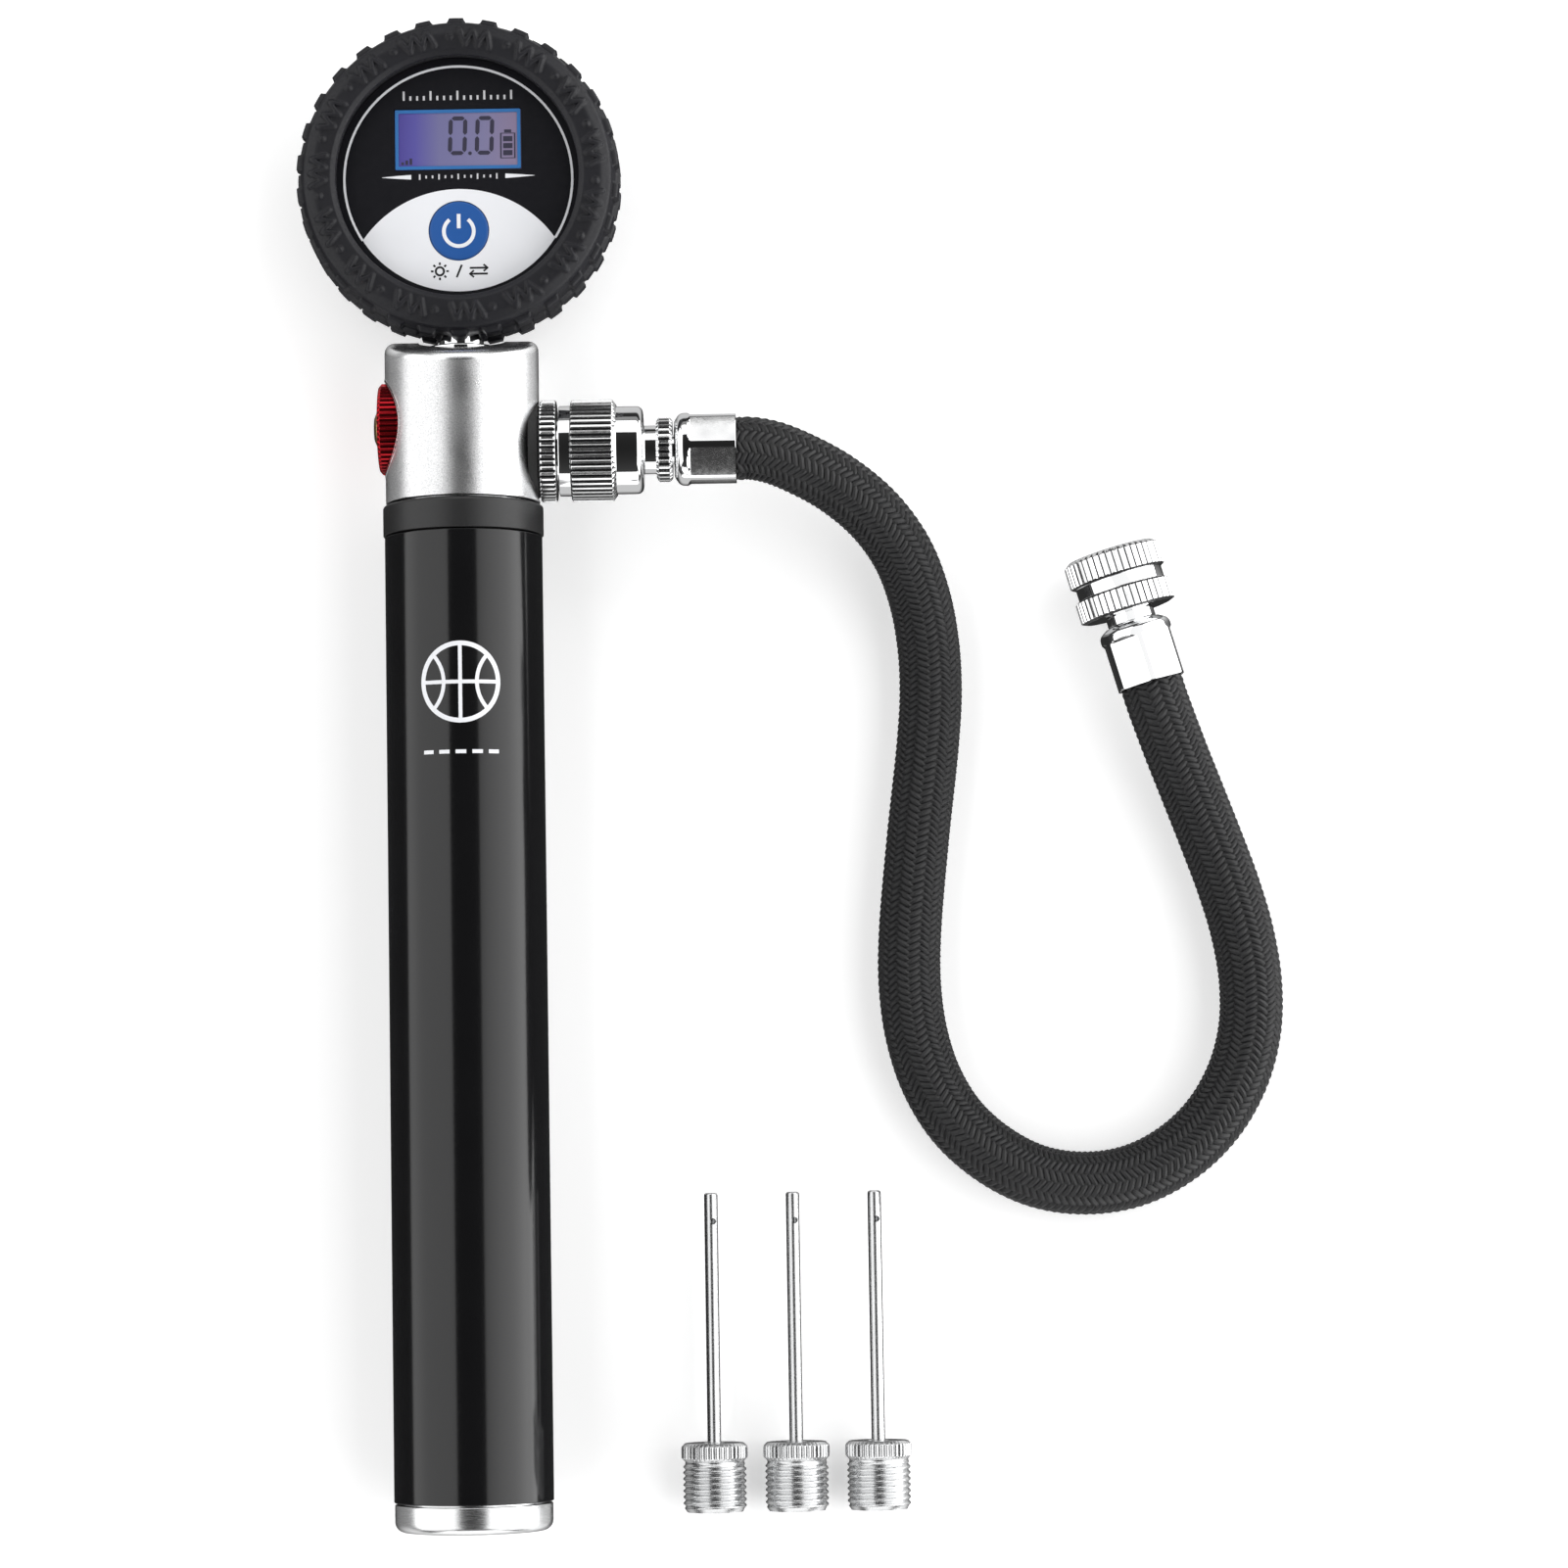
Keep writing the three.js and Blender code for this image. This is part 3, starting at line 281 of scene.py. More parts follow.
def crimps(count, flat, crest, low, high, ramp):
    """Flats pressed into a sleeve between two heights, each starting with a short step."""
    sector = TURN / count

    def reshape(angle, radius, height):
        off_centre = np.mod(angle, sector) - sector / 2
        pressed = smooth((height - low) / ramp) * smooth((high - height) / ramp)
        reach = (flat + (crest - flat) * (1 - pressed)) / np.cos(off_centre) ** 0.75
        return np.where(radius > flat - 0.1, np.minimum(radius, reach), radius)

    return reshape


def thread(root, crest, pitch, low, high):
    """A screw thread between two heights, running out at both ends."""

    def reshape(angle, radius, height):
        phase = height / pitch - angle / TURN
        wave = np.clip(1.35 * np.abs(2 * np.mod(phase, 1) - 1) - 0.1, 0, 1)
        depth = smooth((height - low) / pitch) * smooth((high - height) / pitch)
        cut = root + (crest - root) * wave * depth
        inside = (height > low) & (height < high) & (radius > root)
        return np.where(inside, np.minimum(radius, cut), radius)

    return reshape


# ------------------------ pieces


def piece(
    name, shape, body, slot, place=Matrix(), stands_for=(), looks=None, sharp=SHARP, clean=True
):
    """Makes an object from a shape in millimetres and puts it on its body.
    Unless other looks are given, it has the finish of its slot."""
    points, faces = moved(shape, place)
    mesh = bpy.data.meshes.new(name)
    mesh.from_pydata((points * MM).tolist(), [], faces)
    if clean:
        work = bmesh.new()
        work.from_mesh(mesh)
        bmesh.ops.remove_doubles(work, verts=work.verts, dist=0.002 * MM)
        bmesh.ops.recalc_face_normals(work, faces=work.faces)
        work.to_mesh(mesh)
        work.free()
    mesh.shade_smooth()
    mesh.set_sharp_from_angle(angle=math.radians(sharp))
    for look in [MATERIALS[slot]] if looks is None else looks:
        mesh.materials.append(look)
    made = bpy.data.objects.new(name, mesh)
    bpy.context.scene.collection.objects.link(made)
    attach(made, body)
    if stands_for:
        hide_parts(*stands_for)
    return made


def faces_round(turned_piece, axis):
    """A piece's faces, each with its distance from an axis and its height along it."""
    back = axis.inverted()
    for face in turned_piece.data.polygons:
        spot = back @ (face.center / MM)
        yield face, math.hypot(spot.x, spot.y), spot.z


def split_grip(knurled, axis, deeper_than, low, high):
    """Gives grooves between two heights the piece's second material, a dark painted shade, and crests its third.
    """
    for face, radius, height in faces_round(knurled, axis):
        if low <= height <= high:
            face.material_index = 1 if radius < deeper_than else 2


def carve(target, shapes, place=Matrix(), sharp=SHARP):
    """Cuts shapes out of a piece."""
    cutters = []
    for shape in shapes:
        cutter = piece("cutter", shape, "pump_head", "chrome", place, looks=[])
        modifier = target.modifiers.new("cut", "BOOLEAN")
        modifier.operation = "DIFFERENCE"
        modifier.solver = "EXACT"
        modifier.object = cutter
        cutters.append(cutter)
    graph = bpy.context.evaluated_depsgraph_get()
    mesh = bpy.data.meshes.new_from_object(target.evaluated_get(graph))
    target.modifiers.clear()
    target.data = mesh
    mesh.shade_smooth()
    mesh.set_sharp_from_angle(angle=math.radians(sharp))
    for cutter in cutters:
        bpy.data.objects.remove(cutter)


# ------------------------ materials


def add_node(tree, kind, inputs=(), **settings):
    """A node with some (input, value) pairs and settings."""
    made = tree.nodes.new(kind)
    for key, value in settings.items():
        setattr(made, key, value)
    for key, value in inputs:
        made.inputs[key].default_value = value
    return made


def fill_ramp(ramp, stops):
    """Puts (position, colour) stops into a colour ramp."""
    elements = ramp.color_ramp.elements
    while len(elements) < len(stops):
        elements.new(0.5)
    for element, (position, colour) in zip(elements, stops):
        element.position = position
        element.color = (*colour, 1)


class Look:
    """A material with a few helpers for its nodes."""

    def __init__(self, name, roughness, metallic=0.0):
        self.material = bpy.data.materials.new(name)
        self.material.use_nodes = True
        self.tree = self.material.node_tree
        self.shader = self.tree.nodes["Principled BSDF"]
        self.set("Roughness", roughness)
        self.set("Metallic", metallic)

    def set(self, socket, value):
        self.shader.inputs[socket].default_value = value
        return self

    def node(self, kind, inputs=(), **settings):
        return add_node(self.tree, kind, inputs, **settings)

    def link(self, output, target):
        self.tree.links.new(output, target)

    def place(self, stretch=(1, 1, 1)):
        """Points of the object in millimetres, stretched along the axes."""
        coordinate = self.node("ShaderNodeTexCoord")
        mapping = self.node("ShaderNodeMapping", [("Scale", [s / MM for s in stretch])])
        self.link(coordinate.outputs["Object"], mapping.inputs["Vector"])
        return mapping.outputs["Vector"]

    def noise_at(self, vector, scale, detail):
        texture = self.node("ShaderNodeTexNoise", [("Scale", scale), ("Detail", detail)])
        self.link(vector, texture.inputs["Vector"])
        return texture.outputs["Fac"]

    def noise(self, per_mm, detail=3.0, stretch=(1, 1, 1)):
        """Noise with that many features in a millimetre."""
        return self.noise_at(self.place(stretch), per_mm, detail)

    def spread(self, value, low, high, from_low=0.3, from_high=0.7):
        """A value between from_low and from_high turned to one between low and high."""
        ends = [("From Min", from_low), ("From Max", from_high), ("To Min", low), ("To Max", high)]
        node = self.node("ShaderNodeMapRange", ends)
        self.link(value, node.inputs["Value"])
        return node.outputs["Result"]

    def colours(self, value, stops):
        """A colour ramp over (position, colour) stops into the base colour."""
        ramp = self.node("ShaderNodeValToRGB")
        fill_ramp(ramp, stops)
        self.link(value, ramp.inputs["Fac"])
        self.link(ramp.outputs["Color"], self.shader.inputs["Base Color"])
        return ramp.outputs["Color"]

    def rough(self, value, low, high):
        self.link(self.spread(value, low, high), self.shader.inputs["Roughness"])
        return self

    def bump(self, value, depth_mm):
        node = self.node("ShaderNodeBump", [("Distance", depth_mm * MM)])
        self.link(value, node.inputs["Height"])
        self.link(node.outputs["Normal"], self.shader.inputs["Normal"])
        return self


def shades(colour, amount):
    """A darker and a lighter shade of a colour, as the two ends of a ramp."""
    darker = [c * (1 - amount) for c in colour]
    lighter = [min(1, c * (1 + amount)) for c in colour]
    return [(0.3, darker), (0.7, lighter)]


def plain(name, colour, roughness, metallic, vary, grain, depth, stretch=(1, 1, 1)):
    """A finish with soft colour variation, uneven gloss and a fine grain."""
    look = Look(name, roughness, metallic)
    look.colours(look.noise(0.15, 2), shades(colour, vary))
    fine = look.noise(grain, 4, stretch)
    look.rough(fine, roughness * 0.85, roughness * 1.2)
    look.bump(fine, depth)
    return look


def blasted_silver(name, roughness, grain, depth):
    """Bead-blasted and anodised aluminium, with its sparkling grain."""
    look = Look(name, roughness, 1.0)
    fine = look.noise(grain, 2)
    look.colours(fine, [(0.3, (0.52, 0.525, 0.53)), (0.7, (0.93, 0.93, 0.935))])
    look.rough(look.noise(0.2, 2), roughness * 0.9, roughness * 1.15)
    look.bump(fine, depth)
    return look


def braid_look():
    """Polyester yarn: filaments along each yarn, darker in the hollows."""
    look = Look("braid_yarn", 0.5)
    layer = look.node("ShaderNodeUVMap", uv_map="yarn")
    mapping = look.node("ShaderNodeMapping", [("Scale", (9, 0.9, 1))])
    look.link(layer.outputs["UV"], mapping.inputs["Vector"])
    filaments = look.noise_at(mapping.outputs["Vector"], 1.0, 3.0)
    look.colours(filaments, [(0.35, (0.004, 0.004, 0.0045)), (0.7, (0.02, 0.02, 0.0215))])
    look.rough(filaments, 0.38, 0.55)
    look.bump(filaments, 0.05)
    look.set("Specular IOR Level", 0.42)
    return look


def lcd_look():
    """A backlit display, indigo at one side and greyer at the other."""
    look = Look("lcd_backlight", 0.25)
    coordinate = look.node("ShaderNodeTexCoord")
    split = look.node("ShaderNodeSeparateXYZ")
    look.link(coordinate.outputs["Object"], split.inputs["Vector"])
    low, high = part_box("lcd_window")
    across = look.spread(split.outputs["X"], 0, 1, low.x, high.x)
    colour = look.colours(across, [
        (0.0, (0.075, 0.06, 0.26)), (0.16, (0.10, 0.09, 0.32)), (0.35, (0.16, 0.155, 0.30)),
        (0.7, (0.19, 0.18, 0.31)), (1.0, (0.24, 0.19, 0.29)),
    ])
    look.link(colour, look.shader.inputs["Emission Color"])
    look.set("Emission Strength", 0.12)
    look.set("Coat Weight", 0.3)
    return look


ROUND_Y = (1, 30, 1)  # turning marks on pieces along Y

LOOKS = {
    "black_anodised": plain("black_anodised_finish", (0.006, 0.006, 0.0065), 0.13, 0.0, 0.06, 3, 0.0006),
    "satin_silver": blasted_silver("satin_silver_finish", 0.3, 7, 0.018),
    "polished_silver": plain(
        "polished_silver_finish", (0.86, 0.865, 0.87), 0.24, 1.0, 0.03, 0.5, 0.0015, ROUND_Y
    ),
    "chrome": plain("chrome_finish", (0.88, 0.885, 0.89), 0.035, 1.0, 0.02, 2.5, 0.001),
    "steel": plain("drawn_steel_finish", (0.66, 0.665, 0.67), 0.26, 1.0, 0.05, 5, 0.002),
    "brass": plain("turned_brass_finish", (0.62, 0.45, 0.2), 0.28, 1.0, 0.08, 5, 0.002),
    "red_anodised": plain("red_anodised_finish", (0.46, 0.012, 0.02), 0.2, 0.9, 0.12, 5, 0.002),
    "grey_plastic": plain("grey_plastic_finish", (0.012, 0.012, 0.0125), 0.42, 0.0, 0.05, 5, 0.006),
    "black_plastic": plain("black_plastic_finish", (0.016, 0.016, 0.018), 0.5, 0.0, 0.06, 4, 0.006),
    "tyre_rubber": plain("tyre_rubber_finish", (0.0055, 0.0055, 0.0085), 0.5, 0.0, 0.15, 3, 0.012),
    "seal_rubber": plain("seal_rubber_finish", (0.012, 0.012, 0.012), 0.6, 0.0, 0.1, 4, 0.006),
    "braid": braid_look(),
    "dial_print": plain("dial_film_finish", (0.0065, 0.0065, 0.009), 0.35, 0.0, 0.05, 4, 0.002),
    "button_blue": plain("button_blue_finish", (0.01, 0.09, 0.34), 0.42, 0.0, 0.05, 4, 0.003),
    "lcd": lcd_look(),
    "window": plain("window_finish", (0.6, 0.62, 0.7), 0.1, 0.0, 0.02, 4, 0.001),
    "circuit": plain("circuit_board_finish", (0.012, 0.09, 0.03), 0.4, 0.0, 0.15, 1.5, 0.01),
}
LOOKS["tyre_rubber"].set("Specular IOR Level", 0.38)
LOOKS["dial_print"].set("Specular IOR Level", 0.3)
MATERIALS = {slot: look.material for slot, look in LOOKS.items()}
# Near black chrome for the knurls' grooves: painted shade standing in for the dark valleys.
CHROME_GROOVE_PAINTED_SHADE = plain("chrome_groove_painted_shade", (0.012, 0.012, 0.013), 0.35, 0.3, 0.05, 4, 0.002).material
SATIN_CHROME = plain("satin_chrome", (0.92, 0.925, 0.93), 0.2, 1.0, 0.03, 2.5, 0.001).material
PRESSED_CHROME = plain("pressed_chrome", (0.86, 0.865, 0.87), 0.2, 1.0, 0.3, 1.6, 0.012).material
# Near black red for the knob's grooves: painted shade standing in for the dark valleys.
RED_GROOVE_PAINTED_SHADE = plain("red_groove_painted_shade", (0.05, 0.002, 0.003), 0.35, 0.6, 0.05, 4, 0.002).material
WHITE_INK = plain("white_ink", (0.86, 0.87, 0.9), 0.4, 0.0, 0.015, 4, 0.002).material
DARK_INK = plain("dark_ink", (0.008, 0.008, 0.01), 0.4, 0.0, 0.05, 4, 0.002).material
GREY_INK = plain("grey_ink", (0.62, 0.62, 0.64), 0.4, 0.0, 0.03, 4, 0.002).material
BLUE_FRAME = plain("lcd_frame_blue", (0.035, 0.16, 0.42), 0.35, 0.0, 0.05, 4, 0.002).material
SEGMENT_INK = plain("lcd_segment_dark", (0.035, 0.032, 0.06), 0.4, 0.0, 0.05, 4, 0.001).material
HOSE_CORE = plain("hose_core_rubber", (0.006, 0.006, 0.006), 0.7, 0.0, 0.1, 4, 0.01).material
KNURLED_CHROME = [MATERIALS["chrome"], CHROME_GROOVE_PAINTED_SHADE, SATIN_CHROME]  # ground, grooves with painted shade, and crests
CRIMPED_CHROME = [MATERIALS["chrome"], PRESSED_CHROME]


# ------------------------ camera


def make_camera():
    """A long lens nearly straight above, leaning a little towards the gauge."""
    tilt = math.radians(4.669)
    roll = math.radians(0.929)
    forward_in_plane = Vector((0, math.cos(tilt), math.sin(tilt)))
    right = Vector((math.cos(roll), 0, 0)) - math.sin(roll) * forward_in_plane
    up = math.cos(roll) * forward_in_plane + Vector((math.sin(roll), 0, 0))
    back = right.cross(up)
    data = bpy.data.cameras.new("camera")
    data.sensor_width = 36
    data.angle = math.radians(17.72)
    data.clip_start = 0.01
    data.clip_end = 50
    camera = bpy.data.objects.new("camera", data)
    place = Vector((0.04227, -0.13622, 0.67783))
    camera.matrix_world = frame_at(place, right, up, back)
    bpy.context.scene.collection.objects.link(camera)
    bpy.context.scene.camera = camera


make_camera()


# ------------------------ hose

HOSE_R = 4.25
MOUTH_DEPTH = 0.6  # how far the braid goes into each ferrule's mouth
FAR_HOSE_GAP = 0.3


def far_point(distance):
    """A point on the hose's line, that far before the far ferrule."""
    return tuple(FAR_FERRULE_AT - FAR_AXIS * distance)


HOSE_ROUTE = [
    (36.9, -36.6, 10.7), (38.6, -36.6, 10.7), (41.5, -37.2, 10.6), (45.2, -38.7, 10.1),
    (50, -41.3, 8.9), (55, -45.4, 7.4), (58.7, -50.5, 6), (60.9, -56.4, 5), (62, -62.9, 4.5),
    (62.2, -69.4, 4.3), (61.7, -76, 4.3), (60.1, -89, 4.3), (58.8, -102, 4.3), (58.7, -108.8, 4.3),
    (59.5, -115.3, 4.3), (61.4, -121.4, 4.3), (64.7, -126.9, 4.3), (69.5, -131.3, 4.3),
    (75.3, -134.3, 4.3), (81.7, -135.3, 4.3), (88.1, -134.4, 4.3), (94, -131.5, 4.3),
    (98.8, -127.1, 4.3), (102.2, -121.5, 4.3), (104, -115.4, 4.3), (104.3, -109, 4.3),
    (103.4, -102.4, 4.3), (101.7, -96.1, 4.3), (99.5, -89.8, 4.4), (97.2, -83.7, 4.8),
    (94.9, -77.8, 5.7), (93, -72.6, 6.5),
    far_point(2),
    far_point(FAR_HOSE_GAP),
]


def smooth_line(points, steps=16):
    """A centripetal Catmull-Rom curve through points, as many points close together."""
    spots = np.array(points, float)
    spots = np.vstack([2 * spots[0] - spots[1], spots, 2 * spots[-1] - spots[-2]])
    share = np.linspace(0, 1, steps, endpoint=False)[:, None]
    line = []
    for p0, p1, p2, p3 in zip(spots, spots[1:], spots[2:], spots[3:]):
        d0, d1, d2 = (math.sqrt(np.linalg.norm(b - a)) for a, b in ((p0, p1), (p1, p2), (p2, p3)))
        leave = d1 * ((p1 - p0) / d0 - (p2 - p0) / (d0 + d1) + (p2 - p1) / d1)
        reach = d1 * ((p2 - p1) / d1 - (p3 - p1) / (d1 + d2) + (p3 - p2) / d2)
        squared = -3 * p1 + 3 * p2 - 2 * leave - reach
        cubed = 2 * p1 - 2 * p2 + leave + reach
        line.append(p1 + leave * share + squared * share**2 + cubed * share**3)
    return np.vstack([*line, spots[-2]])


class Route:
    """A line with a frame that doesn't twist, read at any distance along it."""

    def __init__(self, line):
        steps = np.linalg.norm(np.diff(line, axis=0), axis=1)
        self.along = np.concatenate([[0], np.cumsum(steps)])
        self.length = self.along[-1]
        self.line = line
        self.ahead = np.gradient(line, self.along, axis=0)
        self.ahead /= np.linalg.norm(self.ahead, axis=1)[:, None]
        side = np.array((0.0, 0.0, 1.0))
        sides = []
        for ahead in self.ahead:
            side = side - ahead * side.dot(ahead)
            side /= np.linalg.norm(side)
            sides.append(side)
        self.side = np.array(sides)
        self.other = np.cross(self.ahead, self.side)

    def read(self, values, distance):
        return np.stack([np.interp(distance, self.along, values[:, k]) for k in range(3)], axis=-1)

    def around(self, distance, angle, radius):
        """Points round the line, at a distance along it, an angle and a radius."""
        outward = np.cos(angle)[..., None] * self.read(self.side, distance)
        outward = outward + np.sin(angle)[..., None] * self.read(self.other, distance)
        return self.read(self.line, distance) + outward * radius[..., None]


CARRIERS = 16  # yarns in each direction
YARN_PITCH = 14.4  # length of one turn of a yarn
YARN_WIDTH = 0.8
YARN_THICKNESS = 0.42
YARN_SWAY = 0.17  # how far a yarn rises over and sinks under the others
SAMPLES = 2.5  # along a yarn, between two crossings
CORE_R = 3.72
CORE_COLUMNS = 24


def yarn_section():
    """Offsets across and outward of a yarn's six corners, rounder on its outer side."""
    across = np.array([-0.5, -0.3, 0.0, 0.3, 0.5, 0.0]) * YARN_WIDTH
    outward = np.array([-0.15, 0.3, 0.5, 0.3, -0.15, -0.5]) * YARN_THICKNESS
    return across, outward


def braid(route):
    """All yarns, two over and two under, with each yarn's own coordinates for its filaments."""
    across, outward = yarn_section()
    corners = len(across)
    shift_along, shift_across = 7.3, 3.1  # so that no two yarns show the same filaments
    middle_r = HOSE_R - YARN_SWAY - YARN_THICKNESS / 2
    lean = math.atan(TURN * middle_r / YARN_PITCH)
    step = YARN_PITCH / CARRIERS / 2 / SAMPLES
    count = int(route.length / step)
    distance = np.linspace(0.4, route.length - 0.4, count)
    shapes, coordinates = [], []
    for sense in (1, -1):
        for carrier in range(CARRIERS):
            angle = TURN * (carrier / CARRIERS + sense * distance / YARN_PITCH)
            crossing = angle * CARRIERS / math.pi
            over = np.tanh(2 * np.cos((crossing - 0.5) * math.pi / 2))
            radius = middle_r + sense * YARN_SWAY * over
            shift = across[None, :] * math.cos(lean) / middle_r
            place = distance[:, None] - sense * across[None, :] * math.sin(lean)
            place = np.clip(place, 0, route.length)
            points = route.around(place, angle[:, None] + shift, radius[:, None] + outward[None, :])
            faces = grid_faces(count, corners) + grid_ends(count, corners)
            shapes.append((points.reshape(-1, 3), faces))
            along = np.repeat(distance[:, None] + shift_along * carrier, corners, axis=1)
            wide = np.repeat(across[None, :] + shift_across * carrier * sense, count, axis=0)
            coordinates.append(np.stack([wide, along], axis=-1).reshape(-1, 2))
    return join(*shapes), np.concatenate(coordinates)


def add_yarn_map(mesh, coordinates):
    layer = mesh.uv_layers.new(name="yarn")
    corners = np.zeros(len(mesh.loops), int)
    mesh.loops.foreach_get("vertex_index", corners)
    layer.data.foreach_set("uv", coordinates[corners].astype(np.float32).ravel())


def make_hose():
    line = smooth_line(HOSE_ROUTE)
    start = line[0] - np.array((1, 0, 0)) * (MOUTH_DEPTH + FAR_HOSE_GAP)
    end = line[-1] + np.array(FAR_AXIS) * (MOUTH_DEPTH + FAR_HOSE_GAP)
    route = Route(np.vstack([start, line, end]))
    yarns, coordinates = braid(route)
    hose = piece("hose_braid", yarns, "pump_head", "braid", stands_for=["hose"], clean=False)
    add_yarn_map(hose.data, coordinates)
    rows = int(route.length)
    distance = np.linspace(0.2, route.length - 0.2, rows)[:, None] + np.zeros((1, CORE_COLUMNS))
    angle = np.arange(CORE_COLUMNS)[None, :] * TURN / CORE_COLUMNS + np.zeros((rows, 1))
    core_points = route.around(distance, angle, np.full(angle.shape, CORE_R)).reshape(-1, 3)
    core = core_points, grid_faces(rows, CORE_COLUMNS) + grid_ends(rows, CORE_COLUMNS)
    piece("hose_core", core, "pump_head", "seal_rubber", looks=[HOSE_CORE])
    return hose, route


hose, hose_route = make_hose()


# ------------------------ head

HEAD_LOW, HEAD_HIGH = limits("head_body")
HEAD_R = -HEAD_LOW.x
HEAD_TOP = HEAD_HIGH.y + 0.45  # up to the tyre
HEAD_END = HEAD_LOW.y
HEAD_ROUND = 1.3
HEAD_SLOPE = math.radians(15)  # of the top, in its upper half
WELL_R = 6.45  # round the bleed knob


def make_head():
    dish_r, dish_y, port_r = 5.6, HEAD_TOP - 0.7, 3.25  # where the gauge's neck goes in
    socket_r, socket_end = 8.8, HEAD_END + 5  # where the barrel goes in

    def slope_top(points):
        """Slopes the top's upper half away from the gauge, starting at the pump's axis."""
        drop = np.tan(HEAD_SLOPE) * np.maximum(-points[:, 1], 0)
        on_top = points[:, 2] > HEAD_TOP - HEAD_ROUND - 0.05
        points[:, 2] -= np.where(on_top, drop, 0)
        return points

    points, faces = turned([
        (0, socket_end), (socket_r, socket_end), (socket_r, HEAD_END, 0.1),
        (HEAD_R, HEAD_END, 0.25), (HEAD_R, HEAD_TOP, HEAD_ROUND), (dish_r + 0.2, HEAD_TOP, 0.1),
        (dish_r, HEAD_TOP - 0.2, 0.1), (dish_r, dish_y, 0.15), (port_r, dish_y, 0.1),
        (port_r, dish_y - 4), (0, dish_y - 4),
    ])
    looks = [MATERIALS["satin_silver"], MATERIALS["polished_silver"]]
    shape = (slope_top(points), faces)
    head = piece("head_shell", shape, "pump_head", "satin_silver", PUMP, ["head_body"], looks)
    bleed_floor, outlet_floor, outside = 7.4, 9.65, 13  # distances from the pump's axis
    bleed_well = turned([
        (0, bleed_floor), (WELL_R, bleed_floor, 0.15), (WELL_R, outside), (0, outside),
    ])
    outlet_well = turned([
        (0, outlet_floor), (6.2, outlet_floor, 0.1), (6.9, 10.4), (6.9, outside), (0, outside),
    ], 128)
    carve(head, [moved(bleed_well, BLEED), moved(outlet_well, OUTLET)])
    for face, radius, _ in faces_round(head, PUMP):
        on_side = abs(radius - HEAD_R) < 0.02
        face.material_index = 0 if on_side else 1


make_head()


def well_rim():
    """A thin bevel that follows the edge of the bleed knob's well round the head."""
    angle = np.arange(FINE_COLUMNS) * TURN / FINE_COLUMNS
    rows = []
    inner, outer = WELL_R - 0.02, WELL_R + 0.3
    for radius, lift in ((inner, -0.3), (inner, 0.08), (outer, 0.04), (outer, -0.3)):
        y, z = radius * np.cos(angle), radius * np.sin(angle)
        x = np.sqrt(HEAD_R**2 - z**2) + lift
        rows.append(np.stack([-x, y + BLEED_Y, z + AXIS_Z], axis=1))
    return np.concatenate(rows), grid_faces(4, FINE_COLUMNS, close_rows=True)


piece("bleed_well_rim", well_rim(), "pump_head", "polished_silver")

NECK_R, NECK_BORE_R, NECK_FLANGE_R = 3, 0.8, 5
NECK_FROM, NECK_TO = -29.2, -17.4  # from inside the head to inside the gauge
piece("gauge_neck", turned([
    (NECK_BORE_R, NECK_FROM), (NECK_R, NECK_FROM), (NECK_R, HEAD_TOP - 2),
    (NECK_FLANGE_R, HEAD_TOP - 2, 0.1), (NECK_FLANGE_R, HEAD_TOP - 0.85, 0.3),
    (NECK_R, HEAD_TOP - 0.85, 0.2), (NECK_R, NECK_TO), (NECK_BORE_R, NECK_TO),
], SMALL_COLUMNS), "pump_head", "chrome", PUMP, ["gauge_stem"])


# ------------------------ handle, barrel and cap

COLLAR_R = limits("guide_collar")[1].x
COLLAR_TOP = limits("guide_collar")[1].y
SLEEVE_LOW, SLEEVE_HIGH = limits("outer_sleeve")
SLEEVE_R = SLEEVE_HIGH.x
SPIGOT_R = 9.3  # of the collar and the cap, inside the sleeve
WALL = 1  # thickness of the sleeve and the barrel
BARREL_R = limits("inner_barrel")[1].x
BARREL_LOW, BARREL_HIGH = limits("inner_barrel")
CAP_LOW, CAP_HIGH = limits("end_cap")
CAP_R = CAP_HIGH.x
CAP_SEAM = SLEEVE_LOW.y - 0.25

piece("collar", turned([
    (BARREL_R + 0.2, SLEEVE_HIGH.y - 4.75), (SPIGOT_R, SLEEVE_HIGH.y - 4.75, 0.2),
    (SPIGOT_R, SLEEVE_HIGH.y + 0.2), (COLLAR_R, SLEEVE_HIGH.y + 0.2, 0.12),
    (COLLAR_R, COLLAR_TOP, 0.45), (BARREL_R + 0.2, COLLAR_TOP, 0.2),
]), "handle", "grey_plastic", PUMP, ["guide_collar"])
piece(
    "sleeve", tube(SLEEVE_R - WALL, SLEEVE_R, SLEEVE_LOW.y, SLEEVE_HIGH.y, FINE_COLUMNS, 0.15),
    "handle", "black_anodised", PUMP, ["outer_sleeve"]
)
piece(
    "barrel", tube(BARREL_R - WALL, BARREL_R, BARREL_LOW.y, BARREL_HIGH.y, FULL_COLUMNS, 0.15),
    "pump_head", "satin_silver", PUMP, ["inner_barrel"]
)
piece("cap", turned([
    (0, CAP_LOW.y + 0.25), (6.2, CAP_LOW.y + 0.25, 0.2), (6.6, CAP_LOW.y, 0.2),
    (CAP_R, CAP_LOW.y, 1.35), (CAP_R, CAP_SEAM, 0.15), (SPIGOT_R, CAP_SEAM),
    (SPIGOT_R, CAP_HIGH.y, 0.2), (3.1, CAP_HIGH.y, 0.1), (3.1, CAP_LOW.y + 2.1),
    (0, CAP_LOW.y + 2.1),
]), "handle", "polished_silver", PUMP, ["end_cap"])


# ------------------------ plain mark on the sleeve

MARK_Y = -68.4
MARK_R = 5.1
MARK_LINE = 0.62
MARK_DEPTH = 0.02


def on_sleeve(shape):
    """Wraps a flat shape, drawn on x and y, round the sleeve."""
    points, faces = shape
    angle = points[:, 0] / SLEEVE_R
    radius = SLEEVE_R + points[:, 2]
    wrapped = [radius * np.sin(angle), points[:, 1], AXIS_Z + radius * np.cos(angle)]
    return np.stack(wrapped, axis=1), faces


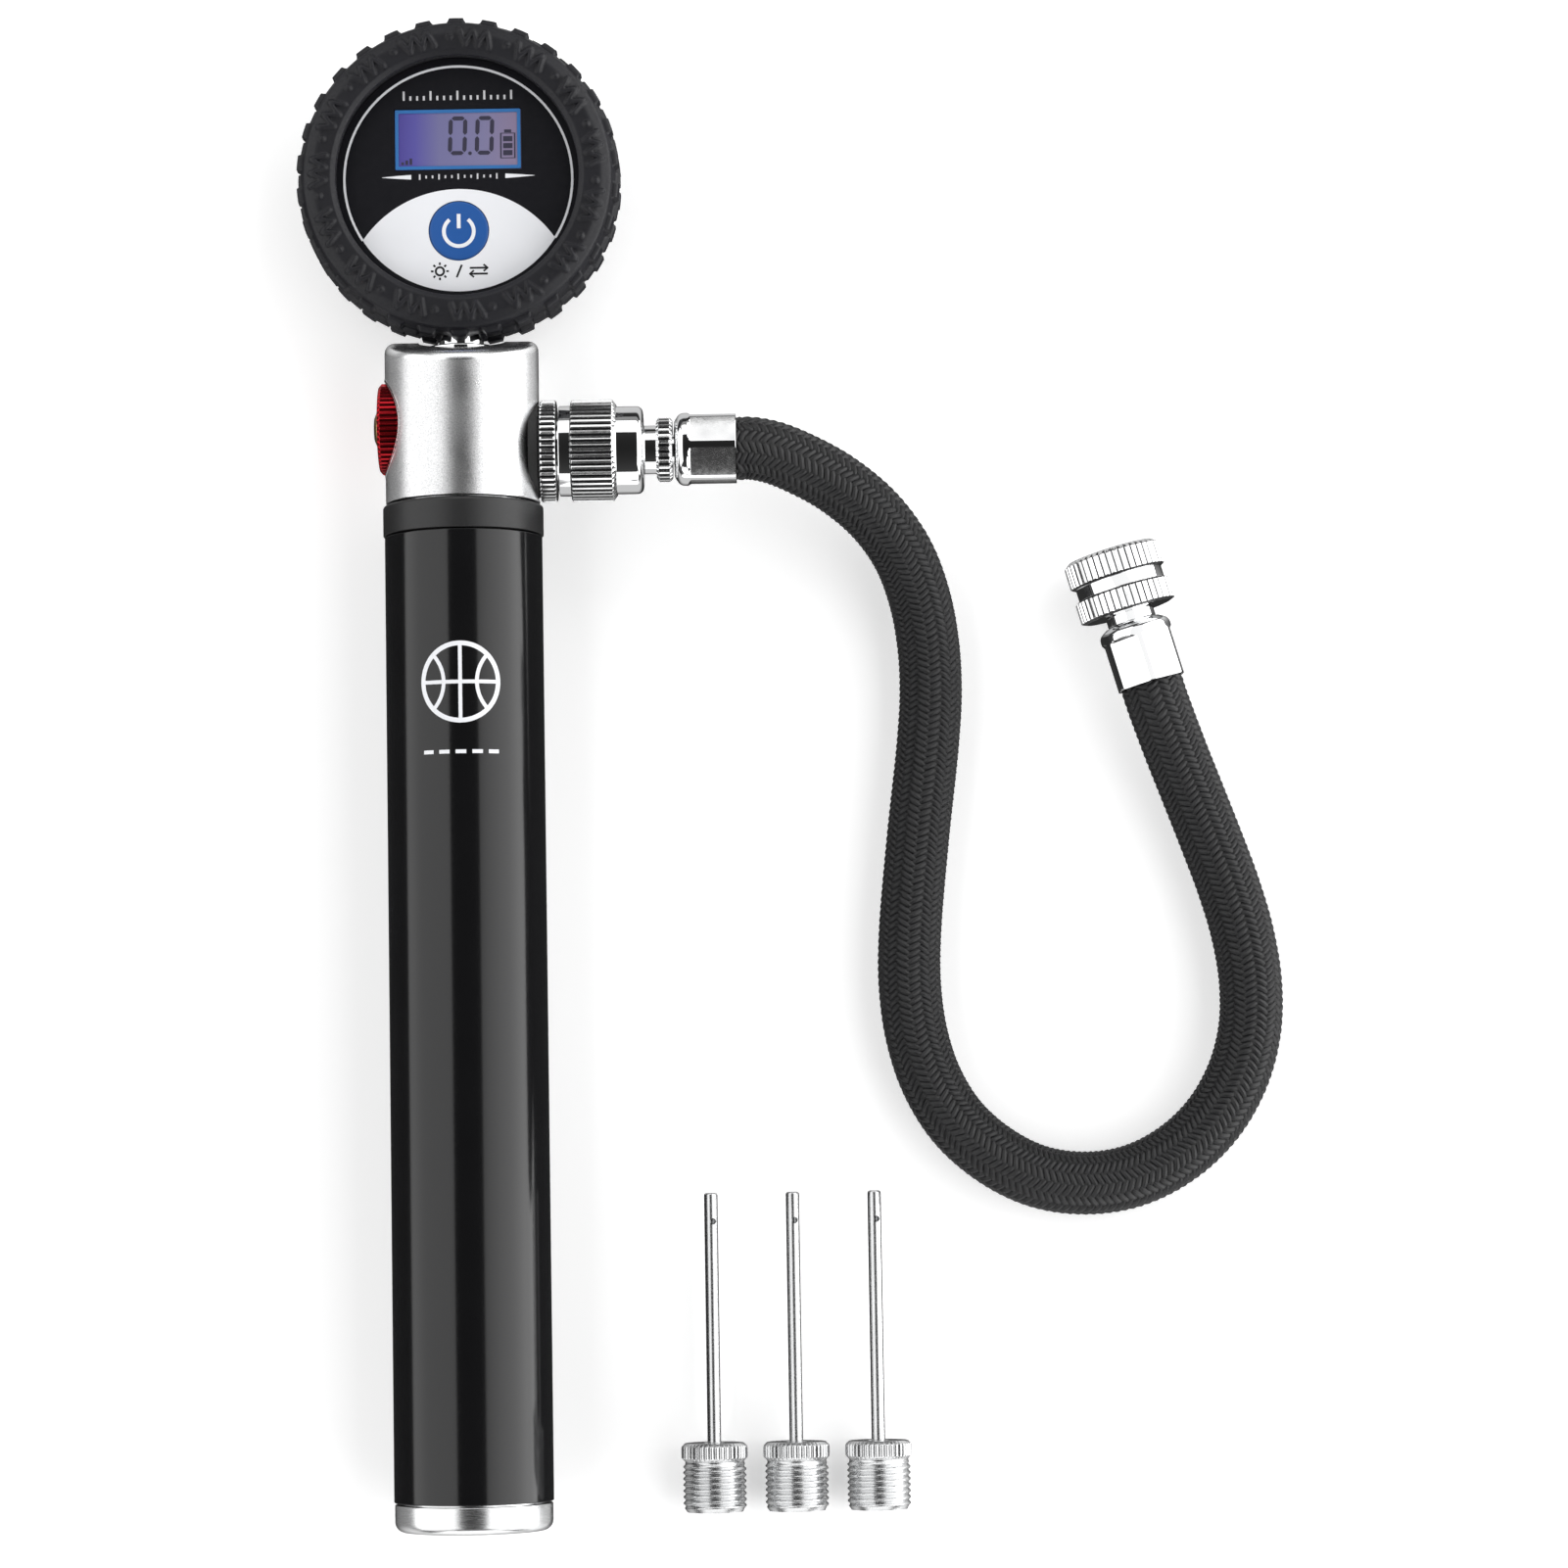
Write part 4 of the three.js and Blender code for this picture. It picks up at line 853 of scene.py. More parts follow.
def make_mark():
    """A ball drawn with four seams, and a short row of dashes under it."""
    centre = (0, MARK_Y)
    lines = [stroke(circle(MARK_R, 3, centre), MARK_LINE, 0, MARK_DEPTH, closed=True)]
    reach = MARK_R - MARK_LINE * 0.3
    for way in (0, 90):
        turn = math.radians(way)
        run = np.linspace(-reach, reach, 25)
        line = np.stack([run * math.cos(turn), run * math.sin(turn) + MARK_Y], axis=1)
        lines.append(stroke(line, MARK_LINE * 0.8, 0, MARK_DEPTH))
    for x, facing in ((-7.4, 0), (7.4, 180)):
        line = arc(5.2, facing - 45, facing + 45, 3, (x, MARK_Y))
        lines.append(stroke(line, MARK_LINE * 0.8, 0, MARK_DEPTH))
    dash_y = MARK_Y - 9.2
    for x in (-4.4, -2.2, 0, 2.2, 4.4):
        dash = [(at, dash_y) for at in np.linspace(x - 0.7, x + 0.7, 5)]
        lines.append(stroke(dash, 0.5, 0, MARK_DEPTH))
    piece("sleeve_mark", on_sleeve(join(*lines)), "handle", "dial_print", looks=[WHITE_INK])


make_mark()


# ------------------------ bleed knob

KNOB_R = limits("bleed_knob")[1].z - AXIS_Z + 0.15
KNOB_FACE = -limits("bleed_knob")[0].x
KNOB_TEETH = 52

# The knob's ground, grooves with painted shade, and crests.
RED_GRIP = [MATERIALS["red_anodised"], RED_GROOVE_PAINTED_SHADE, MATERIALS["red_anodised"]]
knob = piece("knurled_bleed_knob", turned([
    (1.9, KNOB_FACE - 2.9), (KNOB_R, KNOB_FACE - 2.9, 0.3), (KNOB_R, KNOB_FACE - 0.4, 0.1),
    (KNOB_R - 0.45, KNOB_FACE, 0.1), (2.9, KNOB_FACE, 0.1), (2.7, KNOB_FACE - 0.15),
    (1.9, KNOB_FACE - 0.15),
], KNOB_TEETH * TOOTH_COLUMNS, teeth(KNOB_TEETH, 0.3, KNOB_R, KNOB_FACE - 3, KNOB_FACE + 0.1)),
    "bleed_knob", "red_anodised", BLEED, ["bleed_knob"], RED_GRIP
)
split_grip(knob, BLEED, KNOB_R - 0.14, KNOB_FACE - 2.8, KNOB_FACE - 0.42)
piece("domed_bleed_spindle", turned([
    (0, 2.4), (0.6, 2.6), (0.7, 3.6), (1.8, 4.5), (1.8, KNOB_FACE - 0.1),
    (2.6, KNOB_FACE - 0.1, 0.1), (2.5, KNOB_FACE + 0.3, 0.3), (1.5, KNOB_FACE + 0.7, 0.5),
    (0, KNOB_FACE + 0.75),
], SMALL_COLUMNS), "bleed_knob", "brass", BLEED, ["bleed_spindle"])


# ------------------------ outlet and connector

FLANGE_FROM, FLANGE_TO = 10.45, 12.65
NUT_R = limits("connector_nut")[1].z - AXIS_Z
NUT_FROM = limits("connector_nut")[0].x
NUT_TO = limits("connector_nut")[1].x
GRIP_FROM, GRIP_TO = 14.6, 20.1
NUT_TEETH = 52
TOOTH_DEPTH = 0.3

outlet_flange = piece("knurled_outlet", turned([
    (1.2, 3.5), (2.8, 3.5), (2.8, FLANGE_FROM), (NUT_R, FLANGE_FROM, 0.4), (NUT_R, FLANGE_TO, 0.3),
    (4, FLANGE_TO, 0.1), (4, 18, 0.3), (1.2, 18),
], NUT_TEETH * TOOTH_COLUMNS, teeth(NUT_TEETH, TOOTH_DEPTH, NUT_R, FLANGE_FROM + 0.05, FLANGE_TO - 0.05)),
    "pump_head", "chrome", OUTLET, ["outlet_nipple"], looks=KNURLED_CHROME
)
split_grip(outlet_flange, OUTLET, NUT_R - 0.12, FLANGE_FROM + 0.06, FLANGE_TO - 0.06)
piece(
    "outlet_washer", tube(3, 6.25, 9, FLANGE_FROM - 0.1, FULL_COLUMNS, 0.3),
    "pump_head", "seal_rubber", OUTLET, ["outlet_seal"]
)
connector = piece("knurled_connector_nut", turned([
    (4.3, NUT_FROM, 0.15), (6.05, NUT_FROM, 0.15), (6.05, GRIP_FROM - 0.1),
    (NUT_R - 0.35, GRIP_FROM - 0.05), (NUT_R, GRIP_FROM + 0.15, 0.1), (NUT_R, GRIP_TO, 0.1),
    (NUT_R - 0.75, GRIP_TO + 0.55, 0.1), (5.87, GRIP_TO + 0.6), (5.87, NUT_TO, 0.85),
    (4.9, NUT_TO, 0.1), (4.6, NUT_TO - 0.25, 0.1), (2.9, NUT_TO - 0.25, 0.1), (2.9, 21.4),
    (4.3, 21.4),
], NUT_TEETH * TOOTH_COLUMNS, teeth(NUT_TEETH, TOOTH_DEPTH, NUT_R, GRIP_FROM - 0.06, GRIP_TO + 0.5)),
    "connector_nut", "chrome", OUTLET, ["connector_nut"], looks=KNURLED_CHROME
)
split_grip(connector, OUTLET, NUT_R - 0.12, GRIP_FROM + 0.02, GRIP_TO + 0.05)

FITTING_TEETH = 30
fitting = piece("knurled_hose_fitting", turned([
    (1, 18.7), (3.9, 18.7, 0.2), (3.9, 21.2, 0.1), (2.7, 21.2), (2.7, NUT_TO), (3.25, NUT_TO, 0.1),
    (3.25, 25.9), (3.8, 25.95), (4.35, 26.3, 0.15), (4.35, 27.7, 0.15), (3.9, 28.1, 0.1), (2, 28.1),
    (2, 36), (1, 36),
], FITTING_TEETH * TOOTH_COLUMNS, teeth(FITTING_TEETH, 0.4, 4.35, 25.92, 28.05)),
    "pump_head", "chrome", OUTLET, ["hose_fitting"], looks=KNURLED_CHROME
)
split_grip(fitting, OUTLET, 4.35 - 0.2, 26.2, 27.8)

FERRULE_R = limits("head_ferrule")[1].z - AXIS_Z
FERRULE_FLAT = FERRULE_R - 0.36
FERRULE_COLUMNS = 240
RIDGE_UP = math.radians(30)  # puts an edge between two of the six flats on top


def ferrule(length):
    """A sleeve with six crimped flats, its shoulder at height 0 and its mouth at the far end."""
    flat_from = 1.7
    bore_r, mouth_r = 2.15, 4.4
    shoulder = [(bore_r, 0.3), (bore_r, 0, 0.1), (3.7, 0, 0.4), (FERRULE_R, 0.7, 1.1)]
    ramp_rows = [(FERRULE_R, flat_from + 0.15 * k) for k in range(5)]
    profile = [
        *rounded([*shoulder, (FERRULE_R, 1.6)]),
        *ramp_rows,
        *rounded([
            (FERRULE_R, length - 0.5), (FERRULE_R, length, 0.12), (mouth_r, length, 0.12),
            (mouth_r, length - 1), (bore_r, length - 1),
        ]),
    ]
    flats = crimps(6, FERRULE_FLAT, FERRULE_R, flat_from, length + 2, 0.5)
    return lathe(profile, FERRULE_COLUMNS, flats)


def dull_flats(sleeve, axis, length):
    """Gives a ferrule's crimped flats its second material."""
    for face, radius, height in faces_round(sleeve, axis):
        pressed = FERRULE_FLAT - 0.1 < radius < FERRULE_R - 0.04
        if pressed and 2.2 < height < length - 0.2:
            face.material_index = 1


HEAD_FERRULE_FROM = limits("head_ferrule")[0].x
HEAD_FERRULE_TO = limits("head_ferrule")[1].x
FAR_FERRULE_LENGTH = 8.45

HEAD_FERRULE_PLACE = (
    OUTLET @ Matrix.Translation((0, 0, HEAD_FERRULE_FROM)) @ Matrix.Rotation(RIDGE_UP, 4, "Z")
)
head_ferrule = piece(
    "crimped_head_ferrule", ferrule(HEAD_FERRULE_TO - HEAD_FERRULE_FROM),
    "pump_head", "chrome", HEAD_FERRULE_PLACE, ["head_ferrule"], looks=CRIMPED_CHROME
)
dull_flats(head_ferrule, HEAD_FERRULE_PLACE, HEAD_FERRULE_TO - HEAD_FERRULE_FROM)


# ------------------------ far fitting

FAR_NUT_R = 6.6
FAR_NUT_FROM, FAR_NUT_TO = 9.95, 18.5
FAR_GRIP = 3.2
FAR_TEETH = 44

FAR_FERRULE_PLACE = (
    FAR
    @ Matrix.Translation((0, 0, FAR_FERRULE_LENGTH))
    @ Matrix.Rotation(math.pi, 4, "X")
    @ Matrix.Rotation(RIDGE_UP, 4, "Z")
)
far_ferrule = piece(
    "crimped_far_ferrule", ferrule(FAR_FERRULE_LENGTH),
    "pump_head", "chrome", FAR_FERRULE_PLACE, ["far_ferrule"], looks=CRIMPED_CHROME
)
dull_flats(far_ferrule, FAR_FERRULE_PLACE, FAR_FERRULE_LENGTH)
far_stem = piece("turned_far_stem", turned([
    (1, 0.6), (2, 0.6), (2, FAR_FERRULE_LENGTH + 0.15), (3.3, FAR_FERRULE_LENGTH + 0.15, 0.1),
    (3.3, FAR_NUT_FROM - 0.15), (2.9, FAR_NUT_FROM - 0.15), (2.9, 11.3), (4.2, 11.3), (4.2, 12.5),
    (1, 12.5),
], SMALL_COLUMNS), "pump_head", "chrome", FAR, ["far_stem"])
far_gasket = piece(
    "far_washer", tube(1.4, 4.2, 12.6, 13.3, SMALL_COLUMNS, 0.15),
    "pump_head", "seal_rubber", FAR, ["far_gasket"]
)


def far_nut_shape():
    """Two knurled grips with a waist between them, and a thread inside the mouth."""
    first_to = FAR_NUT_FROM + FAR_GRIP
    second_from = FAR_NUT_TO - 0.5 - FAR_GRIP
    second_to = FAR_NUT_TO - 0.5
    waist = 5.95
    edge = 0.3
    floor = 11.2  # of the nut's hollow
    thread_r, pitch, depth = 4.45, 0.8, 0.14
    thread_rows = [(thread_r, FAR_NUT_TO - 1 - 0.1 * k) for k in range(56)]
    profile = [
        *rounded([
            (3.1, floor), (3.1, FAR_NUT_FROM), (FAR_NUT_R - 0.75, FAR_NUT_FROM, 0.1),
            (FAR_NUT_R, FAR_NUT_FROM + edge, 0.15), (FAR_NUT_R, first_to - edge, 0.15),
            (FAR_NUT_R - 0.5, first_to, 0.1), (waist, first_to, 0.1), (waist, second_from, 0.1),
            (FAR_NUT_R - 0.5, second_from, 0.1), (FAR_NUT_R, second_from + edge, 0.15),
            (FAR_NUT_R, second_to - 0.1, 0.1), (FAR_NUT_R - 0.8, FAR_NUT_TO, 0.15),
            (4.9, FAR_NUT_TO, 0.1), (thread_r, FAR_NUT_TO - 0.45),
        ]),
        *thread_rows,
        (thread_r, floor),
    ]
    first = teeth(FAR_TEETH, TOOTH_DEPTH, FAR_NUT_R, FAR_NUT_FROM + 0.02, first_to - 0.02)
    second = teeth(FAR_TEETH, TOOTH_DEPTH, FAR_NUT_R, second_from + 0.02, second_to + 0.25)

    def reshape(angle, radius, height):
        radius = second(angle, first(angle, radius, height), height)
        phase = height / pitch - angle / TURN
        inner = (radius < 4.5) & (radius > 4) & (height > 12.8) & (height < FAR_NUT_TO - 0.7)
        return np.where(inner, radius - depth + depth * np.cos(TURN * phase), radius)

    return lathe(profile, FAR_TEETH * TOOTH_COLUMNS, reshape)


far_nut = piece(
    "knurled_far_nut", far_nut_shape(),
    "far_nut", "chrome", FAR, ["far_nut"], looks=KNURLED_CHROME
)
for grip_from in (FAR_NUT_FROM, FAR_NUT_TO - 0.5 - FAR_GRIP):
    split_grip(far_nut, FAR, FAR_NUT_R - 0.23, grip_from + 0.05, grip_from + FAR_GRIP - 0.05)


# ------------------------ rubber tyre round the gauge

LUG_COUNT = 30
LUG_HEIGHT = 0.6
BOOT_R = 21.0
OPENING_R = 16.2
COLUMNS_PER_LUG = 24
RELIEF_COUNT = 15
RELIEF_HEIGHT = 0.42
STEP = 0.19
LINING_R, LINING_LOW, LINING_HIGH = 19, 5.8, 15.2  # the tyre's hollow, which holds the case
RELIEF_R = 18.55  # middle of the side wall's relief


def resample(points, step):
    """Points along an outline, no further apart than a step."""
    out = []
    for a, b in zip(points, points[1:]):
        count = max(1, math.ceil(math.dist(a, b) / step))
        out += [tuple(np.array(a) + (np.array(b) - np.array(a)) * k / count) for k in range(count)]
    return out


def block(x, half, soft=0.22):
    """1 inside a band of that half width, falling to 0 over a soft edge."""
    return smooth((half + soft / 2 - np.abs(x)) / soft)


def distance_to(line, x, y):
    """The distance of points to a line of straight stretches."""
    nearest = np.full(np.broadcast(x, y).shape, 1e9)
    for (ax, ay), (bx, by) in zip(line, line[1:]):
        dx, dy = bx - ax, by - ay
        share = np.clip(((x - ax) * dx + (y - ay) * dy) / (dx * dx + dy * dy), 0, 1)
        nearest = np.minimum(nearest, np.hypot(x - ax - share * dx, y - ay - share * dy))
    return nearest


def lug_height(angle, z):
    """Three staggered rows of tread blocks."""
    pitch = TURN / LUG_COUNT
    height = 0
    half_length = 1.08
    for low, high, shift, slant in ((12.3, 15.3, 0, 0), (9.3, 12.0, 0.5, 0.5), (6.1, 9.0, 0, 0)):
        middle_z = (low + high) / 2
        along = np.mod(angle / pitch + shift + slant * 0.06 * (z - middle_z), 1) - 0.5
        length = along * pitch * BOOT_R
        height = height + block(length, half_length) * block(z - middle_z, (high - low) / 2)
    return np.minimum(height, 1) * LUG_HEIGHT


def relief_height(angle, radius):
    """A zigzag ridge and a dot, over and over, on the side wall."""
    pitch = TURN / RELIEF_COUNT
    along = (np.mod(angle / pitch, 1) - 0.5) * pitch * 18.6
    outward = radius - RELIEF_R
    zigzag = [(-2.9, -0.95), (-2.1, 0.95), (-1.2, -0.95), (-0.3, 0.95), (0.6, -0.95), (1.4, 0.95)]
    ridge = 1 - smooth((distance_to(zigzag, along, outward) - 0.2) / 0.2)
    dot = 1 - smooth((np.hypot(along - 2.7, outward) - 0.28) / 0.2)
    return np.maximum(ridge, dot) * RELIEF_HEIGHT


def tyre():
    """A rounded ring whose outer points are lifted by its lugs and its relief."""
    outer = rounded([
        (17.2, BOOT_LOW_Z + 0.1), (18.6, BOOT_LOW_Z, 0.8), (20.2, BOOT_LOW_Z + 0.8, 1.2),
        (BOOT_R, BOOT_LOW_Z + 2.4, 1.2), (BOOT_R, BOOT_HIGH_Z - 2.4, 1.5),
        (20.5, BOOT_HIGH_Z - 0.8, 0.8), (19.2, BOOT_HIGH_Z - 0.1, 1.2),
        (16.9, BOOT_HIGH_Z - 0.1, 0.3), (OPENING_R, BOOT_HIGH_Z - 0.6, 0.25), (OPENING_R, LINING_HIGH),
    ])
    outer = resample(outer, STEP)
    inner = [
        (OPENING_R, LINING_HIGH), (LINING_R, LINING_HIGH), (LINING_R, LINING_LOW),
        (15.3, LINING_LOW), (15.3, BOOT_LOW_Z + 0.4),
    ]
    rows = np.array(outer + inner)
    run = np.roll(rows, -1, axis=0) - np.roll(rows, 1, axis=0)
    run /= np.linalg.norm(run, axis=1)[:, None]
    normal = np.stack([run[:, 1], -run[:, 0]], axis=1)
    columns = LUG_COUNT * COLUMNS_PER_LUG
    angle = np.arange(columns)[None, :] * TURN / columns
    r, z = rows[:, :1], rows[:, 1:]
    is_outer = (np.arange(len(rows)) < len(outer) - 8)[:, None]
    on_tread = smooth((r - 19.6) / 0.8)
    on_wall = (r < 20.2) & (r > 17) & (z > 14)
    lift = np.where(is_outer, lug_height(angle, z) * on_tread, 0)
    lift = lift + np.where(is_outer & on_wall, relief_height(angle, r), 0)
    radius = r + normal[:, :1] * lift
    height = z + normal[:, 1:] * lift
    return around_z(radius, angle, height), grid_faces(len(rows), columns, close_rows=True)


piece("tyre_cover", tyre(), "pump_head", "tyre_rubber", stands_for=["tyre_boot"], sharp=55)


# ------------------------ gauge case, cover and dial

CASE_R = limits("gauge_case")[1].x
CASE_LOW_Z, CASE_HIGH_Z = limits("gauge_case")[0].z, limits("gauge_case")[1].z
COVER_R = limits("battery_cover")[1].x
COVER_HIGH_Z = limits("battery_cover")[1].z

piece("case_shell", turned([
    (0, 6), (12.8, 6), (12.8, CASE_LOW_Z), (COVER_R, CASE_LOW_Z, 0.3), (COVER_R, 6),
    (CASE_R, 6, 0.3), (CASE_R, CASE_HIGH_Z, 0.5), (16.5, CASE_HIGH_Z, 0.2), (16.5, 12.4),
    (15.3, 12.4), (15.3, 7.4), (0, 7.4),
]), "pump_head", "black_plastic", stands_for=["gauge_case"])


def make_cover():
    cover = piece(
        "coin_slot_cover", disc(COVER_R, 0, COVER_HIGH_Z, FULL_COLUMNS, 0.25),
        "pump_head", "black_plastic", stands_for=["battery_cover"]
    )
    carve(cover, [slab([rectangle(-6, -0.9, 6, 0.9, 0.8)], -1, 0.7)])


make_cover()

LCD_LOW, LCD_HIGH = limits("lcd_window")
BUTTON_Y = middle("power_button").y
BUTTON_TOP = limits("power_button")[1].z
BUTTON_R = 4.0
INK = 0.02  # thickness of print
PRINT_LOW, PRINT_TOP = DIAL_Z - 0.05, DIAL_Z + INK
RING_R = 15.25
EYE_CORNER_ANGLE = 32.5  # degrees under the horizontal where the white area meets the ring
EYE_TOP_Y = -1.4


def lcd_rectangle(grow, edge=0.0):
    """The display's outline, made larger on all sides."""
    return rectangle(LCD_LOW.x - grow, LCD_LOW.y - grow, LCD_HIGH.x + grow, LCD_HIGH.y + grow, edge)


def make_plate():
    button_hole = circle(BUTTON_R + 0.2, 4, (0, BUTTON_Y))
    outlines = [circle(OPENING_R + 0.2, 2), lcd_rectangle(0.1)[::-1], button_hole[::-1]]
    plate = slab(outlines, DIAL_Z - 0.9, DIAL_Z)
    piece("printed_plate", plate, "pump_head", "dial_print", stands_for=["face_plate"])


def eye_outline():
    """The white area: a flat arc on top, and the ring's own arc below."""
    corner = math.radians(EYE_CORNER_ANGLE)
    half_width = RING_R * math.cos(corner)
    corner_y = -RING_R * math.sin(corner)
    rise = EYE_TOP_Y - corner_y
    top_r = (half_width**2 + rise**2) / (2 * rise)
    spread = math.degrees(math.asin(half_width / top_r))
    top = arc(top_r, 90 - spread, 90 + spread, 2, (0, EYE_TOP_Y - top_r))
    bottom = arc(RING_R, 180 + EYE_CORNER_ANGLE, 360 - EYE_CORNER_ANGLE, 2)
    return top + bottom[1:-1]


def make_dial_print():
    ring = arc(RING_R, -EYE_CORNER_ANGLE, 180 + EYE_CORNER_ANGLE, 2)
    eye = [eye_outline(), circle(BUTTON_R + 0.06, 4, (0, BUTTON_Y))[::-1]]
    areas = [stroke(ring, 0.32, PRINT_LOW, PRINT_TOP), slab(eye, PRINT_LOW, PRINT_TOP)]
    for side in (-1, 1):
        ends = [(side * 6.3, 0.3), (side * 8.2, 0.3), (side * 10.2, 0.3)]
        areas.append(stroke(ends, [0.62, 0.38, 0.05], PRINT_LOW, PRINT_TOP))
    piece("dial_ring_and_area", join(*areas), "pump_head", "dial_print", looks=[WHITE_INK])

    ticks = []
    for i in range(13):
        x, half = (i - 6) * 0.86, 0.375 if i % 3 == 0 else 0.2
        ticks.append(rectangle(x - 0.11, 0.3 - half, x + 0.11, 0.3 + half))
    title_low = 11.3 - 0.6
    for i in range(17):
        x, tall = (i - 8) * 0.9, 1.25 if i % 4 == 0 else 0.6
        ticks.append(rectangle(x - 0.14, title_low, x + 0.14, title_low + tall))
    marks = [slab([tick], PRINT_LOW, PRINT_TOP) for tick in ticks]
    piece("dial_scale_marks", join(*marks), "pump_head", "dial_print", looks=[GREY_INK])

    sun_x, arrows_x, mark_y = -2.6, 2.6, -12.5
    lines = []  # the sun's rays, a slash and two arrows
    for k in range(8):
        angle = math.radians(45 * k)
        ray = [(sun_x + r * math.cos(angle), mark_y + r * math.sin(angle)) for r in (0.85, 1.2)]
        lines.append(ray)
    lines.append([(-0.35, mark_y - 0.85), (0.35, mark_y + 0.85)])
    for sense in (-1, 1):
        y = mark_y + 0.4 * sense
        tail, tip = arrows_x - sense * 1.2, arrows_x + sense * 1.2
        barb = tip - sense * 0.55
        lines += [[(tail, y), (tip, y)], [(barb, y + 0.45), (tip, y), (barb, y - 0.45)]]
    low, high = PRINT_TOP - 0.01, DIAL_Z + 2 * INK
    sun = stroke(circle(0.55, 15, (sun_x, mark_y)), 0.28, low, high, closed=True)
    marks = [stroke(line, 0.26, low, high) for line in lines]
    piece("dial_pictograms", join(sun, *marks), "pump_head", "dial_print", looks=[DARK_INK])


def digit(x, y, width, height, thick, low, high):
    """A nought of six bars with pointed ends, leaning a little."""
    gap = 0.12
    half = height / 2
    ends = [
        ((0, height), (width, height)), ((width, height), (width, half)),
        ((width, half), (width, 0)), ((0, 0), (width, 0)),
        ((0, half), (0, 0)), ((0, height), (0, half)),
    ]
    bars = []
    for start, end in ends:
        start, end = Vector(start), Vector(end)
        run = (end - start).normalized()
        points = [start + run * gap, start + run * (gap + thick / 2)]
        points += [end - run * (gap + thick / 2), end - run * gap]
        line = [(x + p.x + 0.04 * p.y, y + p.y) for p in points]
        bars.append(stroke(line, [0.08, thick, thick, 0.08], low, high))
    return join(*bars)


def make_display():
    glass_top = DIAL_Z - 0.1
    screen = slab([lcd_rectangle(0, 0.15)], LCD_LOW.z, glass_top)
    piece("display_screen", screen, "pump_head", "lcd", stands_for=["lcd_window"])
    outlines = [lcd_rectangle(0, 0.15), lcd_rectangle(-0.45, 0.1)[::-1]]
    border = slab(outlines, glass_top - 0.02, DIAL_Z + INK)
    piece("display_frame", border, "pump_head", "lcd", looks=[BLUE_FRAME])
    low, high = glass_top - 0.01, glass_top + INK
    marks = [digit(x, 3.5, 1.95, 4.7, 0.55, low, high) for x in (-1.1, 2.5)]
    point = circle(0.25, 20, (1.6, 3.45))
    battery, battery_cap = rectangle(5.75, 2.75, 7.6, 6.1), rectangle(6.2, 6.2, 7.15, 6.6)
    marks += [slab([point], low, high), stroke(battery, 0.22, low, high, closed=True)]
    filled = [battery_cap]
    for k in range(3):
        y = 3.1 + 0.95 * k
        filled.append(rectangle(6.05, y, 7.3, y + 0.7))
    for k in range(3):
        x = LCD_LOW.x + 0.8 + 0.55 * k
        filled.append(rectangle(x, 2.0, x + 0.35, 2.35 + 0.25 * k))
    marks += [slab([outline], low, high) for outline in filled]
    piece("display_segments", join(*marks), "pump_head", "lcd", looks=[SEGMENT_INK])


def make_button():
    piece("round_power_button", turned([
        (0, 11.2), (1.2, 11.2), (1.2, 12), (BUTTON_R + 0.7, 12), (BUTTON_R + 0.7, 12.5),
        (BUTTON_R, 12.5), (BUTTON_R, BUTTON_TOP - 0.06, 0.3), (0, BUTTON_TOP),
    ], 96), "power_button", "button_blue", Matrix.Translation((0, BUTTON_Y, 0)), ["power_button"])
    low, high = BUTTON_TOP - 0.1, BUTTON_TOP + INK
    ring = stroke(arc(2.0, 90 + 38, 450 - 38, 6, (0, BUTTON_Y - 0.1)), 0.5, low, high)
    bar = stroke([(0, BUTTON_Y + 0.3), (0, BUTTON_Y + 2.25)], 0.5, low, high)
    piece("power_icon", join(ring, bar), "power_button", "dial_print", looks=[WHITE_INK])


make_plate()
make_dial_print()
make_display()
make_button()


# ------------------------ ball needles

THREAD_R, THREAD_ROOT_R, THREAD_PITCH = 4.2, 3.9, 0.8
THREAD_LENGTH = 6.65
NEEDLE_TEETH = 38
TUBE_R = 0.9


def needle_base():
    collar_r = 4.4
    height = 9.1
    rows = [(THREAD_R, 0.45 + 0.0667 * k) for k in range(93)]
    profile = [
        (TUBE_R + 0.1, 0.2), (2.2, 0.2), (2.4, 0), (THREAD_R - 0.5, 0),
        *rows,
        *rounded([
            (THREAD_ROOT_R, THREAD_LENGTH - 0.05), (collar_r - 0.4, THREAD_LENGTH + 0.1, 0.05),
            (collar_r, THREAD_LENGTH + 0.5, 0.3), (collar_r, height - 0.5, 0.3),
            (collar_r - 0.5, height, 0.25), (1.5, height, 0.1), (1.3, height - 0.2),
            (TUBE_R + 0.1, height - 0.2),
        ]),
    ]
    screw = thread(THREAD_ROOT_R, THREAD_R, THREAD_PITCH, 0.1, THREAD_LENGTH)
    knurl = teeth(NEEDLE_TEETH, 0.22, collar_r, THREAD_LENGTH + 0.15, height - 0.1)

    def reshape(angle, radius, at):
        return knurl(angle, screw(angle, radius, at), at)

    return lathe(profile, NEEDLE_TEETH * 8, reshape)


def needle_tube(length):
    """A tube with a closed tip."""
    return turned([
        (0.5, 0.3), (TUBE_R, 0.3), (TUBE_R, length, 0.35), (0, length), (0, length - 1.4),
        (0.5, length - 1.4), (0.5, 0.3),
    ], 48)


